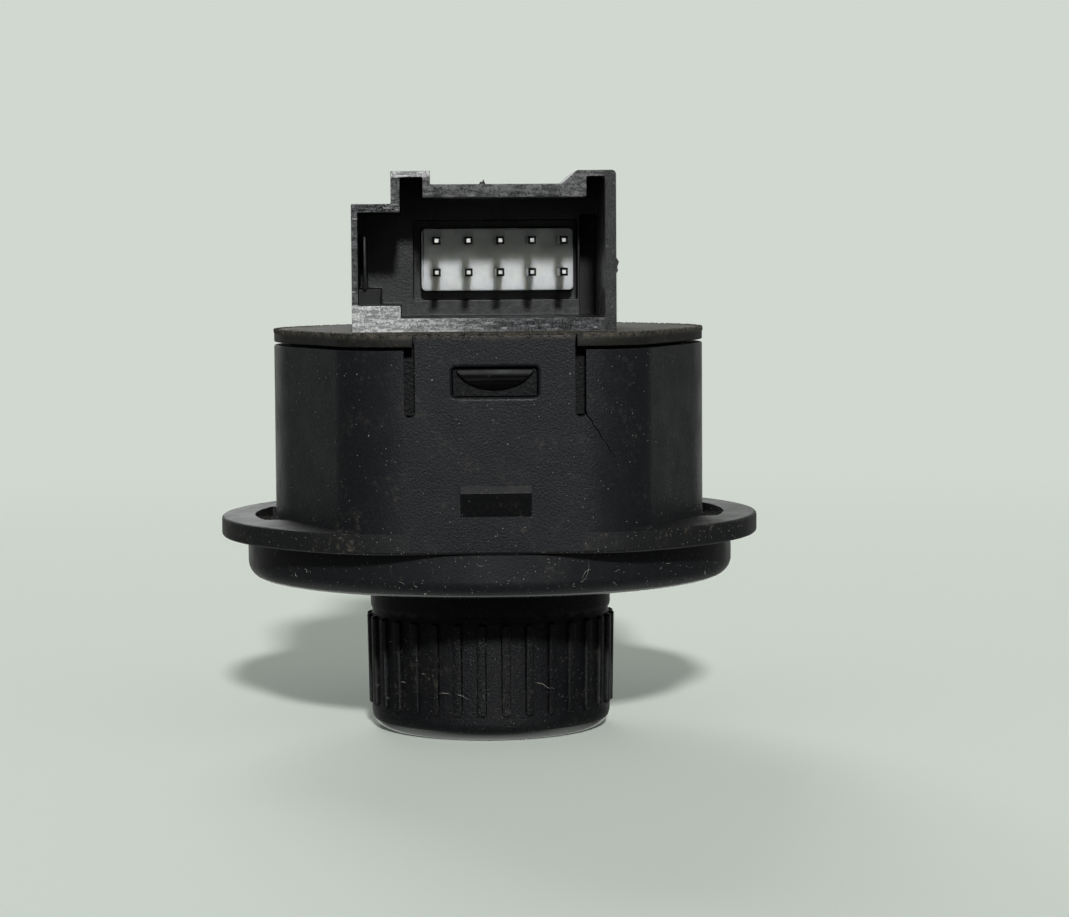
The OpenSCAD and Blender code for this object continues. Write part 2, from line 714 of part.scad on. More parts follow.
module rocker() {
    color("#d9d6cc") difference() {
        union() {
            translate([0, 0, cup_floor_z]) cylinder(r = sleeve_r, h = arm_z - cup_floor_z + 0.1);
            translate([0, 0, cup_end_z]) cylinder(r = cup_r, h = cup_floor_z + 0.6 - cup_end_z);
            translate([0, 0, arm_z]) cylinder(r = sleeve_r + 0.6, h = arm_t);
            for (a = [0 : 90 : 270]) rotate([0, 0, a]) {
                translate([0, -arm_w / 2, arm_z]) cube([dome_at, arm_w, arm_t]);
                translate([dome_at, 0, arm_z]) cylinder(r = arm_w / 2, h = arm_t, $fn = 48);
                translate([dome_at, 0, arm_z + 0.5])
                    cylinder(r = foot_r, h = foot_top_z - arm_z - 0.8, $fn = 48);
                translate([dome_at, 0, foot_top_z - 0.3])
                    cylinder(r1 = foot_r, r2 = foot_r - 0.3, h = 0.3, $fn = 48);
            }
            for (s = [0, 180]) rotate([0, 0, s]) translate([0, -sleeve_r + 0.6, pivot_z])
                rotate([90, 0, 0]) cylinder(r = trunnion_r, h = rocker_pin_reach - sleeve_r + 0.6, $fn = 48);
        }
        translate([0, 0, -20]) cylinder(r = shaft_r + run_clear, h = 40);
        translate([0, 0, cup_end_z - 1]) cylinder(r = cup_in_r, h = cup_floor_z - cup_end_z + 1);
        for (a = detents) rotate([0, 0, 180 + a])
            translate([cup_in_r + notch_depth - ball_r - 0.1, 0, cup_end_z - 1])
                cylinder(r = ball_r + 0.1, h = cup_floor_z - cup_end_z + 1, $fn = 48);
    }
}

module selector_shaft() {
    color("#c9c4b6") difference() {
        union() {
            translate([0, 0, cup_floor_z - run_clear - 0.5])
                cylinder(r = shaft_r, h = shaft_top_z - cup_floor_z + run_clear + 0.5);
            translate([0, 0, detent_flange_low_z])
                cylinder(r = detent_flange_r, h = cup_floor_z - run_clear - detent_flange_low_z);
            intersection() {
                translate([0, 0, stem_end_z]) cylinder(r = stem_r, h = detent_flange_low_z - stem_end_z + 0.5);
                translate([-10, -10, -30]) cube([10 + stem_flat, 20, 60]);
            }
            translate([-blade_w / 2, -blade_t / 2, shaft_top_z - 0.5])
                cube([blade_w, blade_t, blade_top_z - shaft_top_z + 0.5]);
        }
        translate([0, 0, clip_z - 0.03]) ring(groove_r, shaft_r + 1, clip_t + 0.06);
        translate([-spring_from, 0, detent_z]) rotate([0, -90, 0])
            cylinder(r = ball_r + run_clear, h = 10, $fn = 48);
    }
}

// Open spring clip in the groove at the rear end of the shaft
module retaining_clip() {
    color("#9aa0a6") translate([0, 0, clip_z]) difference() {
        ring(groove_r + 0.03, clip_r, clip_t);
        translate([0, -1.4, -1]) cube([10, 2.8, 3]);
    }
}

module detent_ball() {
    color("#b9bcc0") translate([-ball_at, 0, detent_z]) sphere(r = ball_r, $fn = 48);
}

// Compression spring behind the ball: a coil swept along its axis, which points outwards
module detent_spring() {
    coil_r = ball_r - 0.05 - spring_wire / 2;
    span = ball_at - ball_r - spring_from - spring_wire;
    steps = 14 * spring_turns;
    sides = 6;
    ring_points = [for (k = [0 : steps]) for (j = [0 : sides - 1])
        let (t = 360 * spring_turns * k / steps, b = 360 * j / sides)
        let (r = coil_r + spring_wire / 2 * cos(b))
        [-(spring_from + spring_wire / 2 + span * k / steps + spring_wire / 2 * sin(b)),
            r * cos(t), detent_z + r * sin(t)]];
    side_faces = [for (k = [0 : steps - 1]) for (j = [0 : sides - 1])
        [k * sides + j, k * sides + (j + 1) % sides,
            (k + 1) * sides + (j + 1) % sides, (k + 1) * sides + j]];
    start_face = [[for (j = [sides - 1 : -1 : 0]) j]];
    end_face = [[for (j = [0 : sides - 1]) steps * sides + j]];
    color("#a8abb0") polyhedron(ring_points, concat(side_faces, start_face, end_face));
}

// Rotor that the shaft's blade turns, journalled in the middle of the board
module contact_rotor() {
    color("#3b3f46") difference() {
        union() {
            translate([0, 0, rotor_low_z]) cylinder(r = rotor_r, h = rotor_top_z - rotor_low_z);
            translate([0, 0, rotor_top_z - barb_in])
                cylinder(r = rotor_hub_r, h = board_top_z - rotor_top_z + 2 * barb_in);
            translate([0, 0, board_top_z + barb_gap])
                cylinder(r1 = rotor_hub_r + barb_out, r2 = rotor_hub_r - barb_in, h = barb_h);
        }
        translate([-rotor_slot_half_l, -rotor_slot_half_w, rotor_low_z - 1])
            cube([2 * rotor_slot_half_l, 2 * rotor_slot_half_w, 1 + rotor_slot_depth]);
    }
}

// Spring wiper with three fingers that slide on the board
module wiper_contact() {
    finger = 2.4;
    color("#c08a4a") translate([0, 0, rotor_top_z]) {
        ring(wiper_in_r, wiper_out_r, wiper_t);
        for (a = [90, 210, 330]) rotate([0, 0, a]) translate([3.4, 0, 0]) {
            rotate([-asin(wiper_rise / finger), 0, 0])
                translate([-0.4, -finger, 0]) cube([0.8, finger, wiper_t]);
            translate([0, -finger * 0.92, wiper_rise - 0.1]) sphere(r = wiper_bump_r, $fn = 24);
        }
    }
}

// Raised grip rib with round ends, drawn on the front and cut from a slightly tapered sleeve
module grip_rib() {
    low = -rib_top_drop - rib_len;
    along_y(-rib_top_r - 1, -knob_r + 1) {
        rect(-rib_w / 2, low + rib_w / 2, rib_w / 2, -rib_top_drop - rib_w / 2);
        translate([0, low + rib_w / 2]) circle(r = rib_w / 2, $fn = 24);
        translate([0, -rib_top_drop - rib_w / 2]) circle(r = rib_w / 2, $fn = 24);
    }
}

module knob_cap() {
    end_z = -knob_end_drop;
    step_z = -rib_top_drop - 0.02;
    low_r = neck_r - neck_round;
    color("#232427") difference() {
        union() {
            rotate_extrude() {
                rect(0, step_z + neck_round, neck_r, knob_top_z);
                rect(0, step_z, low_r, step_z + neck_round + 0.1);
                intersection() {
                    translate([low_r, step_z + neck_round]) circle(r = neck_round);
                    rect(low_r, step_z, neck_r, step_z + neck_round);
                }
                rect(0, end_z + knob_rim_r, knob_r, step_z + 0.2);
                rect(0, end_z, knob_r - knob_rim_r, end_z + knob_rim_r + 0.1);
                intersection() {
                    translate([knob_r - knob_rim_r, end_z + knob_rim_r]) circle(r = knob_rim_r);
                    rect(knob_r - knob_rim_r, end_z, knob_r, end_z + knob_rim_r);
                }
            }
            intersection() {
                union() {
                    for (i = [0 : rib_count - 1]) rotate([0, 0, (i + 0.5) * 360 / rib_count]) grip_rib();
                }
                translate([0, 0, -rib_top_drop - rib_len])
                    cylinder(r1 = rib_low_r, r2 = rib_top_r, h = rib_len);
            }
        }
        difference() {
            translate([0, 0, end_z + knob_end_t]) cylinder(r = low_r - knob_wall, h = 40);
            translate([0, 0, end_z]) cylinder(r = hub_r, h = hub_top_z - end_z);
        }
        intersection() {
            translate([0, 0, stem_end_z - 0.4]) cylinder(r = stem_r + stem_fit, h = 30);
            translate([-10, -10, -30]) cube([10 + stem_flat + stem_fit, 20, 60]);
        }
    }
}

barrel_housing();
front_bezel();
rear_cover();
pin_header();
contact_pin(0, 0);  // contact_pin_1
contact_pin(0, 1);  // contact_pin_2
contact_pin(0, 2);  // contact_pin_3
contact_pin(0, 3);  // contact_pin_4
contact_pin(0, 4);  // contact_pin_5
contact_pin(1, 0);  // contact_pin_6
contact_pin(1, 1);  // contact_pin_7
contact_pin(1, 2);  // contact_pin_8
contact_pin(1, 3);  // contact_pin_9
contact_pin(1, 4);  // contact_pin_10
circuit_board();
chip_resistors();
dome_mat();
gimbal_ring();
rocker();
selector_shaft();
retaining_clip();
detent_ball();
detent_spring();
contact_rotor();
wiper_contact();
knob_cap();
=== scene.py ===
"""Looks of the door mirror adjustment switch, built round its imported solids.

Sizes are in millimetres and angles in degrees, except where a name or a docstring says metres.
"""

import logging
import math
import random
from dataclasses import dataclass, field
from enum import Enum
from typing import Callable, Iterable, Sequence

import bmesh
import bpy
from mathutils import Matrix, Vector


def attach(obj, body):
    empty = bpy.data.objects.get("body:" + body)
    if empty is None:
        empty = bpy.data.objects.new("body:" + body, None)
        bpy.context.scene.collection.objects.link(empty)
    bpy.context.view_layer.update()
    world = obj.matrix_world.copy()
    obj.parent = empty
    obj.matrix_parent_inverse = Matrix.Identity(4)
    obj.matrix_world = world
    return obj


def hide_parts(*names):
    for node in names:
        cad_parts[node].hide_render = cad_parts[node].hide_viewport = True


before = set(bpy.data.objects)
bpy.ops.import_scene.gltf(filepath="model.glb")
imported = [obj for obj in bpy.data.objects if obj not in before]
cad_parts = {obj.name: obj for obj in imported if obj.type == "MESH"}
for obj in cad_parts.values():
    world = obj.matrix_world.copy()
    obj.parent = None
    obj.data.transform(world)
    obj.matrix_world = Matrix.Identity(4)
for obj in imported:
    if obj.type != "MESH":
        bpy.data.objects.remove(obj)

LOG = logging.getLogger("mirror_switch")

# Metres in a millimetre, and millimetres in a metre
MM = 0.001
PER_METRE = 1000.0
# Degrees in a radian, near enough for hairs
DEGREES = 57.3
# How far from the axis a tool that cuts right through reaches, in millimetres
FAR = 30.0

Point2 = tuple[float, float]
Point3 = tuple[float, float, float]


class Body(Enum):
    """Bodies of the switch that the scene's own pieces ride on."""

    HOUSING = "housing"
    SELECTOR = "selector"


class Cut(Enum):
    """What a tool solid does to the solid it works on."""

    AWAY = "DIFFERENCE"
    ADD = "UNION"
    KEEP = "INTERSECT"


class NodeBook:
    """Adds and links nodes in one tree, with short calls."""

    def __init__(self, tree: bpy.types.NodeTree) -> None:
        """Keeps the tree.

        Args:
            tree: The node tree that the nodes go into.
        """
        self.tree = tree

    def add(self, kind: str, values: dict | None = None, **settings: object) -> bpy.types.Node:
        """Adds a node.

        Args:
            kind: Blender's name for the node type.
            values: Input name or number to a value, or to a socket that is linked to it.
            settings: Properties of the node.

        Returns:
            The new node.
        """
        node = self.tree.nodes.new(kind)
        for name, value in settings.items():
            setattr(node, name, value)
        for name, value in (values or {}).items():
            if isinstance(value, bpy.types.NodeSocket):
                self.tree.links.new(value, node.inputs[name])
            else:
                node.inputs[name].default_value = value
        return node

    def link(self, source: bpy.types.NodeSocket, target: bpy.types.NodeSocket) -> None:
        """Links two sockets."""
        self.tree.links.new(source, target)


class ShaderBook(NodeBook):
    """Node calls that materials use."""

    def position(self, shift: Point3 = (0, 0, 0), stretch: Point3 = (1, 1, 1)) -> bpy.types.NodeSocket:
        """Gives object coordinates, moved and stretched.

        Args:
            shift: How far they are moved, in metres.
            stretch: Factor along each axis.

        Returns:
            The coordinates in metres.
        """
        where = self.add("ShaderNodeTexCoord")
        mapping = self.add("ShaderNodeMapping", {"Vector": where.outputs["Object"]})
        mapping.inputs["Location"].default_value = shift
        mapping.inputs["Scale"].default_value = stretch
        return mapping.outputs["Vector"]

    def noise(self, where: bpy.types.NodeSocket, size_mm: float, detail: float = 3.0,
              rough: float = 0.55) -> bpy.types.NodeSocket:
        """Gives fractal noise from 0 to 1.

        Args:
            where: Coordinates in metres.
            size_mm: Size of the largest spots.
            detail: Number of octaves.
            rough: Weight of the finer octaves.

        Returns:
            The noise value.
        """
        node = self.add("ShaderNodeTexNoise", {"Vector": where, "Scale": PER_METRE / size_mm,
                                               "Detail": detail, "Roughness": rough})
        return node.outputs["Fac"]

    def cells(self, where: bpy.types.NodeSocket, size_mm: float) -> bpy.types.NodeSocket:
        """Gives the distance to the nearest scattered point, in cell widths."""
        node = self.add("ShaderNodeTexVoronoi", {"Vector": where, "Scale": PER_METRE / size_mm})
        return node.outputs["Distance"]

    def span(self, value: bpy.types.NodeSocket, low: float, high: float, out_low: float = 0.0,
             out_high: float = 1.0, smooth: bool = True) -> bpy.types.NodeSocket:
        """Maps a range of a value onto another range.

        Args:
            value: The value.
            low: Where the range starts.
            high: Where it ends.
            out_low: Result at its start.
            out_high: Result at its end.
            smooth: Whether the result starts and ends gently.

        Returns:
            The result.
        """
        node = self.add("ShaderNodeMapRange", {"Value": value, "From Min": low, "From Max": high,
                                               "To Min": out_low, "To Max": out_high},
                        interpolation_type="SMOOTHSTEP" if smooth else "LINEAR", clamp=True)
        return node.outputs["Result"]

    def math(self, operation: str, first: object, second: object = 0.0) -> bpy.types.NodeSocket:
        """Combines two values."""
        node = self.add("ShaderNodeMath", {0: first, 1: second}, operation=operation)
        return node.outputs["Value"]

    def blend(self, share: object, first: object, second: object) -> bpy.types.NodeSocket:
        """Mixes two colours by a share from 0 to 1."""
        node = self.add("ShaderNodeMix", {0: share, 6: first, 7: second}, data_type="RGBA")
        return node.outputs[2]

    def axis(self, where: bpy.types.NodeSocket, letter: str) -> bpy.types.NodeSocket:
        """Gives one coordinate of a position."""
        return self.add("ShaderNodeSeparateXYZ", {"Vector": where}).outputs[letter]

    def bump(self, height: bpy.types.NodeSocket, strength: float, depth: float,
             under: bpy.types.NodeSocket | None = None) -> bpy.types.NodeSocket:
        """Presses a pattern into a surface.

        Args:
            height: The pattern.
            strength: Its strength.
            depth: Its depth in metres.
            under: Direction of the surface with the pattern that this one lies on.

        Returns:
            Direction of the surface with the pattern.
        """
        values = {"Height": height, "Strength": strength, "Distance": depth}
        if under is not None:
            values["Normal"] = under
        return self.add("ShaderNodeBump", values).outputs["Normal"]

    def end(self, shader: bpy.types.NodeSocket) -> None:
        """Ends a material's tree."""
        self.link(shader, self.add("ShaderNodeOutputMaterial").inputs["Surface"])


def rgba(colour: Sequence[float]) -> tuple[float, float, float, float]:
    """Adds an opaque alpha to a colour."""
    return (colour[0], colour[1], colour[2], 1.0)


def blank_material(name: str) -> tuple[bpy.types.Material, ShaderBook]:
    """Makes a material with an empty tree.

    Args:
        name: Its name.

    Returns:
        The material, and the node calls for its tree.
    """
    made = bpy.data.materials.new(name)
    made.use_nodes = True
    made.node_tree.nodes.clear()
    return made, ShaderBook(made.node_tree)


@dataclass(frozen=True)
class Finish:
    """Base of every finish: a principled surface that the kinds below shade."""

    name: str
    colour: Point3
    roughness: float = 0.5
    metallic: float = 0.0
    specular: float = 0.5

    def tint(self, factor: float) -> tuple[float, float, float, float]:
        """Gives the colour made lighter or darker by a factor."""
        return rgba([c * factor for c in self.colour])

    def shade(self, book: ShaderBook, surface: bpy.types.Node) -> None:
        """Adds the pattern of this finish. The plain kind has a fine mottle.

        Args:
            book: Node calls for the material's tree.
            surface: The principled node to feed.
        """
        mottle = book.noise(book.position(), 0.8)
        book.link(book.blend(mottle, self.tint(0.86), rgba(self.colour)), surface.inputs["Base Color"])
        book.link(book.span(mottle, 0.2, 0.8, self.roughness - 0.06, self.roughness + 0.06),
                  surface.inputs["Roughness"])

    def material(self) -> bpy.types.Material:
        """Makes the material, once for each name.

        Returns:
            The material.
        """
        found = bpy.data.materials.get(self.name)
        if found:
            return found
        made, book = blank_material(self.name)
        surface = book.add("ShaderNodeBsdfPrincipled", {
            "Base Color": rgba(self.colour), "Roughness": self.roughness, "Metallic": self.metallic,
            "Specular IOR Level": self.specular})
        book.end(surface.outputs["BSDF"])
        self.shade(book, surface)
        return made


@dataclass(frozen=True)
class MouldedPlastic(Finish):
    """Spark-eroded black plastic with a fine grain, faint scuffs and dust in specks and patches; on some
    finishes the dust pattern draws painted reflection streaks and the specks painted glints.
    """

    grain_mm: float = 0.17
    grain: float = 0.35
    grain_depth_m: float = 0.00006
    scuff_depth_m: float = 0.00003
    patch_mm: float = 3.2
    fleck_mm: float = 0.5
    # The dust film's strength and colour; on the right wall's finish they draw painted reflection streaks
    dust: float = 0.25
    dust_and_reflection_colour: Point3 = (0.16, 0.135, 0.1)
    streak: Point3 = (1.0, 1.0, 1.0)
    dusty_above_mm: float = math.inf
    dusty_below_mm: float = -math.inf
    top_band_mm: float = 0.35
    foot_band_mm: float = 0.8
    # Pale speck cells: dust specks, which with the knob's small cells are also painted glints
    speck_and_glint_mm: float = 1.15
    speck_and_glint_share: float = 0.55
    speck_and_glint_colour: Point3 = (0.34, 0.31, 0.26)

    def film(self, book: ShaderBook, where: bpy.types.NodeSocket, patches: bpy.types.NodeSocket,
             flecks: bpy.types.NodeSocket) -> bpy.types.NodeSocket:
        """Gives how thick dust lies, which on the right wall's finish draws painted reflection streaks: in
        patches, and on some pieces in a band at the top or the foot.

        Args:
            book: Node calls for the material's tree.
            where: Coordinates in metres.
            patches: Noise with large spots.
            flecks: Noise with small spots.

        Returns:
            The share of dust, which on the right wall's finish is painted reflection.
        """
        film = book.math("MULTIPLY", book.span(patches, 0.45, 0.72), book.span(flecks, 0.5, 0.72))
        height = book.axis(where, "Z")
        if self.dusty_above_mm < math.inf:
            start = self.dusty_above_mm - self.top_band_mm
            band = book.span(height, start * MM, self.dusty_above_mm * MM)
            film = book.math("MAXIMUM", film, book.math("MULTIPLY", band, book.span(flecks, 0.36, 0.6)))
        if self.dusty_below_mm > -math.inf:
            end = self.dusty_below_mm + self.foot_band_mm
            band = book.span(height, self.dusty_below_mm * MM, end * MM, 1.0, 0.0)
            film = book.math("MAXIMUM", film, book.math("MULTIPLY", band, book.span(flecks, 0.4, 0.66)))
        return book.math("MULTIPLY", film, self.dust)

    def shade(self, book: ShaderBook, surface: bpy.types.Node) -> None:
        """Adds grain, mottle, dust and scuffs, with painted reflection streaks and painted glints on some
        finishes.

        Args:
            book: Node calls for the material's tree.
            surface: The principled node to feed.
        """
        where = book.position()
        fine = book.noise(where, self.grain_mm, detail=2.0, rough=0.6)
        broad = book.position(shift=(0.013, 0.007, 0.002), stretch=self.streak)
        patches = book.noise(broad, self.patch_mm, detail=4.0, rough=0.6)
        flecks = book.noise(book.position(shift=(0.031, 0.0, 0.011)), self.fleck_mm, detail=5.0, rough=0.75)
        tone = book.blend(book.span(fine, 0.3, 0.7), self.tint(0.72), self.tint(1.18))
        film = self.film(book, where, patches, flecks)
        # Pale specks from scattered cells; on the knob and ribs, with small cells, they are painted glints
        specks = book.math("MULTIPLY", book.span(book.cells(where, self.speck_and_glint_mm), 0.085, 0.035),
                           book.span(book.noise(where, 2.2, detail=2.0), 0.5, 0.62))
        # Dust colour laid on; on the right wall's finish it is painted reflection
        dusty = book.blend(film, tone, rgba(self.dust_and_reflection_colour))
        colour = book.blend(book.math("MULTIPLY", specks, self.speck_and_glint_share), dusty, rgba(self.speck_and_glint_colour))
        book.link(colour, surface.inputs["Base Color"])
        rough = book.span(patches, 0.3, 0.7, self.roughness - 0.05, self.roughness + 0.05)
        book.link(book.math("ADD", rough, book.math("MULTIPLY", film, 0.3)), surface.inputs["Roughness"])
        grain = book.bump(fine, self.grain, self.grain_depth_m)
        scuffs = book.bump(flecks, self.grain * 0.5, self.scuff_depth_m, grain)
        book.link(scuffs, surface.inputs["Normal"])


@dataclass(frozen=True)
class BrokenEdge(Finish):
    """Black plastic with a coarse streaky cut with painted glints, whitened at its lower left and at one
    tower.
    """

    grit_mm: float = 0.16
    level_cut: Point3 = (0.22, 1.0, 1.0)
    upright_cut: Point3 = (1.0, 1.0, 0.14)
    upright_from_mm: float = 8.75
    roof_mm: Point2 = (25.3, 25.7)
    roof_grey: float = 0.17
    painted_glint_grey: float = 0.3
    white: float = 0.68
    white_from_mm: float = 3.0
    white_to_mm: float = -10.5
    white_below_mm: float = 17.45
    tower_above_mm: float = 27.35
    tower_right_mm: Point2 = (-4.5, -5.0)

    def whitening(self, book: ShaderBook, across: bpy.types.NodeSocket, height: bpy.types.NodeSocket,
                  grit: bpy.types.NodeSocket) -> bpy.types.NodeSocket:
        """Gives how far the cut is whitened: along its lower edge, and on the left tower.

        Args:
            book: Node calls for the material's tree.
            across: Coordinate X in metres.
            height: Coordinate Z in metres.
            grit: The pattern that breaks the whitening up.

        Returns:
            The share of white.
        """
        along = book.span(across, self.white_from_mm * MM, self.white_to_mm * MM)
        low = book.span(height, (self.white_below_mm + 0.05) * MM, (self.white_below_mm - 0.05) * MM)
        high = book.span(height, self.tower_above_mm * MM, (self.tower_above_mm + 0.1) * MM)
        left = book.span(across, self.tower_right_mm[0] * MM, self.tower_right_mm[1] * MM)
        # Paler along the lower edge and on the left tower's top
        paled = book.math("MAXIMUM", book.math("MULTIPLY", along, low), book.math("MULTIPLY", high, left))
        return book.math("MULTIPLY", paled, book.span(grit, 0.0, 0.6, 0.38, 1.0))

    def shade(self, book: ShaderBook, surface: bpy.types.Node) -> None:
        """Adds the cut's lines, painted glints and whitening.

        Args:
            book: Node calls for the material's tree.
            surface: The principled node to feed.
        """
        where = book.position()
        across, height = book.axis(where, "X"), book.axis(where, "Z")
        wall = book.span(across, (self.upright_from_mm - 0.1) * MM, (self.upright_from_mm + 0.1) * MM)
        level = book.math("SUBTRACT", 1.0, wall)
        drawn = book.position(shift=(0.004, 0.0, 0.003), stretch=self.level_cut)
        grit = book.noise(where, self.grit_mm, detail=4.0, rough=0.7)
        level_lines = book.noise(drawn, self.grit_mm * 1.5, detail=3.0, rough=0.65)
        upright_lines = book.noise(book.position(stretch=self.upright_cut), self.grit_mm * 1.5, detail=3.0,
                                   rough=0.65)
        lines = book.math("ADD", book.math("MULTIPLY", level_lines, level),
                          book.math("MULTIPLY", wall, upright_lines))
        both = book.math("MULTIPLY", book.span(grit, 0.34, 0.62), book.span(lines, 0.36, 0.64))
        base = book.blend(both, self.tint(0.22), self.tint(2.2))
        dull = book.blend(book.math("MULTIPLY", wall, 0.93), base, self.tint(0.2))
        # Painted glints: pale cells along the level cut stand in for its sparkle
        painted_glint = book.span(book.cells(drawn, self.grit_mm * 1.8), 0.34, 0.1)
        patch = book.span(book.noise(where, 0.9, detail=3.0, rough=0.6), 0.4, 0.62)
        pale = book.math("MULTIPLY", book.math("MULTIPLY", painted_glint, patch), level)
        cut = book.blend(pale, dull, rgba([self.painted_glint_grey] * 3))
        roof = book.math("MULTIPLY", book.span(height, self.roof_mm[0] * MM, self.roof_mm[1] * MM), level)
        greyed = book.math("MULTIPLY", roof, book.span(both, 0.0, 0.5, 0.1, 0.7))
        cut = book.blend(greyed, cut, rgba([self.roof_grey] * 3))
        white = self.whitening(book, across, height, both)
        book.link(book.blend(white, cut, rgba([self.white] * 3)), surface.inputs["Base Color"])
        book.link(book.span(grit, 0.3, 0.7, self.roughness - 0.12, self.roughness + 0.15),
                  surface.inputs["Roughness"])
        book.link(book.bump(grit, 0.9, 0.00009), surface.inputs["Normal"])


@dataclass(frozen=True)
class HeaderNylon(Finish):
    """Matt pale plastic with faint moulding clouds, which lets some light in."""

    depth: float = 0.0
    reach_m: float = 0.0016

    def shade(self, book: ShaderBook, surface: bpy.types.Node) -> None:
        """Adds clouds, a fine tooth and light that gets under the surface.

        Args:
            book: Node calls for the material's tree.
            surface: The principled node to feed.
        """
        where = book.position()
        cloud = book.noise(where, 1.6, detail=3.0)
        tooth = book.noise(where, 0.16, detail=2.0)
        colour = book.blend(book.span(cloud, 0.3, 0.7), self.tint(0.84), rgba(self.colour))
        book.link(colour, surface.inputs["Base Color"])
        book.link(book.span(tooth, 0.3, 0.7, self.roughness - 0.08, self.roughness + 0.08),
                  surface.inputs["Roughness"])
        book.link(book.bump(tooth, 0.3, 0.00004), surface.inputs["Normal"])
        surface.inputs["Subsurface Weight"].default_value = self.depth
        surface.inputs["Subsurface Radius"].default_value = (1.0, 0.95, 0.8)
        surface.inputs["Subsurface Scale"].default_value = self.reach_m


@dataclass(frozen=True)
class DrawnMetal(Finish):
    """Drawn or rolled metal with fine lines along one axis."""

    along: Point3 = (1.0, 1.0, 12.0)

    def shade(self, book: ShaderBook, surface: bpy.types.Node) -> None:
        """Adds drawing lines and a slight tarnish.

        Args:
            book: Node calls for the material's tree.
            surface: The principled node to feed.
        """
        lines = book.noise(book.position(stretch=self.along), 0.5, detail=3.0, rough=0.6)
        tarnish = book.noise(book.position(), 1.2, detail=3.0)
        colour = book.blend(book.span(tarnish, 0.45, 0.75), rgba(self.colour), self.tint(0.6))
        book.link(colour, surface.inputs["Base Color"])
        book.link(book.span(lines, 0.3, 0.7, self.roughness - 0.07, self.roughness + 0.12),
                  surface.inputs["Roughness"])
        book.link(book.bump(lines, 0.2, 0.00002), surface.inputs["Normal"])


@dataclass(frozen=True)
class BoardMask(Finish):
    """Green solder mask over a woven laminate, with copper tracks showing through."""

    def shade(self, book: ShaderBook, surface: bpy.types.Node) -> None:
        """Adds the weave and the tracks.

        Args:
            book: Node calls for the material's tree.
            surface: The principled node to feed.
        """
        where = book.position()
        weave = book.add("ShaderNodeTexWave", {"Vector": where, "Scale": 900.0, "Distortion": 1.0})
        black, white = (0, 0, 0, 1), (1, 1, 1, 1)
        tracks = book.add("ShaderNodeTexBrick", {"Vector": where, "Scale": 260.0, "Mortar Size": 0.06,
                                                 "Color1": black, "Color2": black, "Mortar": white})
        base = book.blend(weave.outputs["Fac"], self.tint(0.9), rgba(self.colour))
        copper = book.add("ShaderNodeRGBToBW", {"Color": tracks.outputs["Color"]}).outputs["Val"]
        book.link(book.blend(copper, base, self.tint(2.2)), surface.inputs["Base Color"])
        book.link(book.bump(copper, 0.4, 0.00004), surface.inputs["Normal"])


BARREL = MouldedPlastic("barrel_charcoal", (0.0107, 0.0115, 0.0138), 0.44, specular=0.22, grain=0.55,
                        dust=0.34, dusty_above_mm=15.1)
# Painted shade: the wedge's downward faces get a darker tone for the shade they lie in
SHADED = MouldedPlastic("wedge_underside_painted_shade", (0.0042, 0.0044, 0.005), 0.6, specular=0.15, grain=0.5, dust=0.2)
# Painted highlight: the wedge's upward faces get a lighter tone where the light falls, with a dust pattern
# too
CREST_HIGHLIGHT = MouldedPlastic("wedge_crest", (0.034, 0.034, 0.035), 0.45, specular=0.4, grain=0.6, dust=0.6)
FLANGE = MouldedPlastic("flange_dusty", (0.0104, 0.0107, 0.0116), 0.55, specular=0.27, grain=0.6, dust=0.75)
BEZEL = MouldedPlastic("bezel_black", (0.0092, 0.0098, 0.0117), 0.46, specular=0.3, grain=0.35, dust=0.25)
COVER = MouldedPlastic("cover_dusty", (0.016, 0.0155, 0.014), 0.6, specular=0.25, grain=0.6, dust=0.75,
                       dust_and_reflection_colour=(0.11, 0.1, 0.078), dusty_above_mm=15.15)
SHROUD = MouldedPlastic("shroud_black", (0.0095, 0.0098, 0.0108), 0.42, specular=0.4, grain=0.5, dust=0.2,
                        dust_and_reflection_colour=(0.13, 0.13, 0.132), dusty_below_mm=17.3)
# Painted shade: the step block's front and top faces get a darker tone for the shade they lie in
STEP_SHADE = MouldedPlastic("shroud_step_painted_shade", (0.0045, 0.0046, 0.005), 0.5, specular=0.25, grain=0.3, dust=0.15)
# Painted fill light: the groove's back gets a tone a little lighter than the shroud's, to brighten the shade
# it lies in
GROOVE_FILL = MouldedPlastic("shroud_groove_painted_light", (0.012, 0.0122, 0.013), 0.5, specular=0.25, grain=0.3, dust=0.4)
# Painted reflection: a lighter tone with pale upright streaks from the dust pattern stands in for the right
# wall's glossy reflections
WALL_REFLECTION = MouldedPlastic("shroud_wall_painted_reflection", (0.1, 0.101, 0.104), 0.3, specular=0.6, grain=0.3, dust=1.0,
                         dust_and_reflection_colour=(0.5, 0.5, 0.49), streak=(1.0, 0.7, 0.08))
NOSE = MouldedPlastic("nose_black", (0.0032, 0.0033, 0.0037), 0.5, specular=0.17, grain=0.15, dust=0.08)
SKIRT = MouldedPlastic("skirt_dusty", (0.0072, 0.0074, 0.0082), 0.62, grain_mm=0.26, specular=0.18, grain=2.4,
                       dust=0.8, dust_and_reflection_colour=(0.05, 0.05, 0.05))
# Painted glints: small speck cells on the knob and its ribs stand in for sparkle
KNOB = MouldedPlastic("knob_black", (0.003, 0.0033, 0.0045), 0.5, grain_mm=0.14, specular=0.25, grain=1.3,
                      dust=0.3, speck_and_glint_mm=0.36)
RIBS = MouldedPlastic("rib_worn", (0.0024, 0.0027, 0.0037), 0.46, grain_mm=0.14, specular=0.25, grain=1.4,
                      dust=0.45, speck_and_glint_mm=0.34)
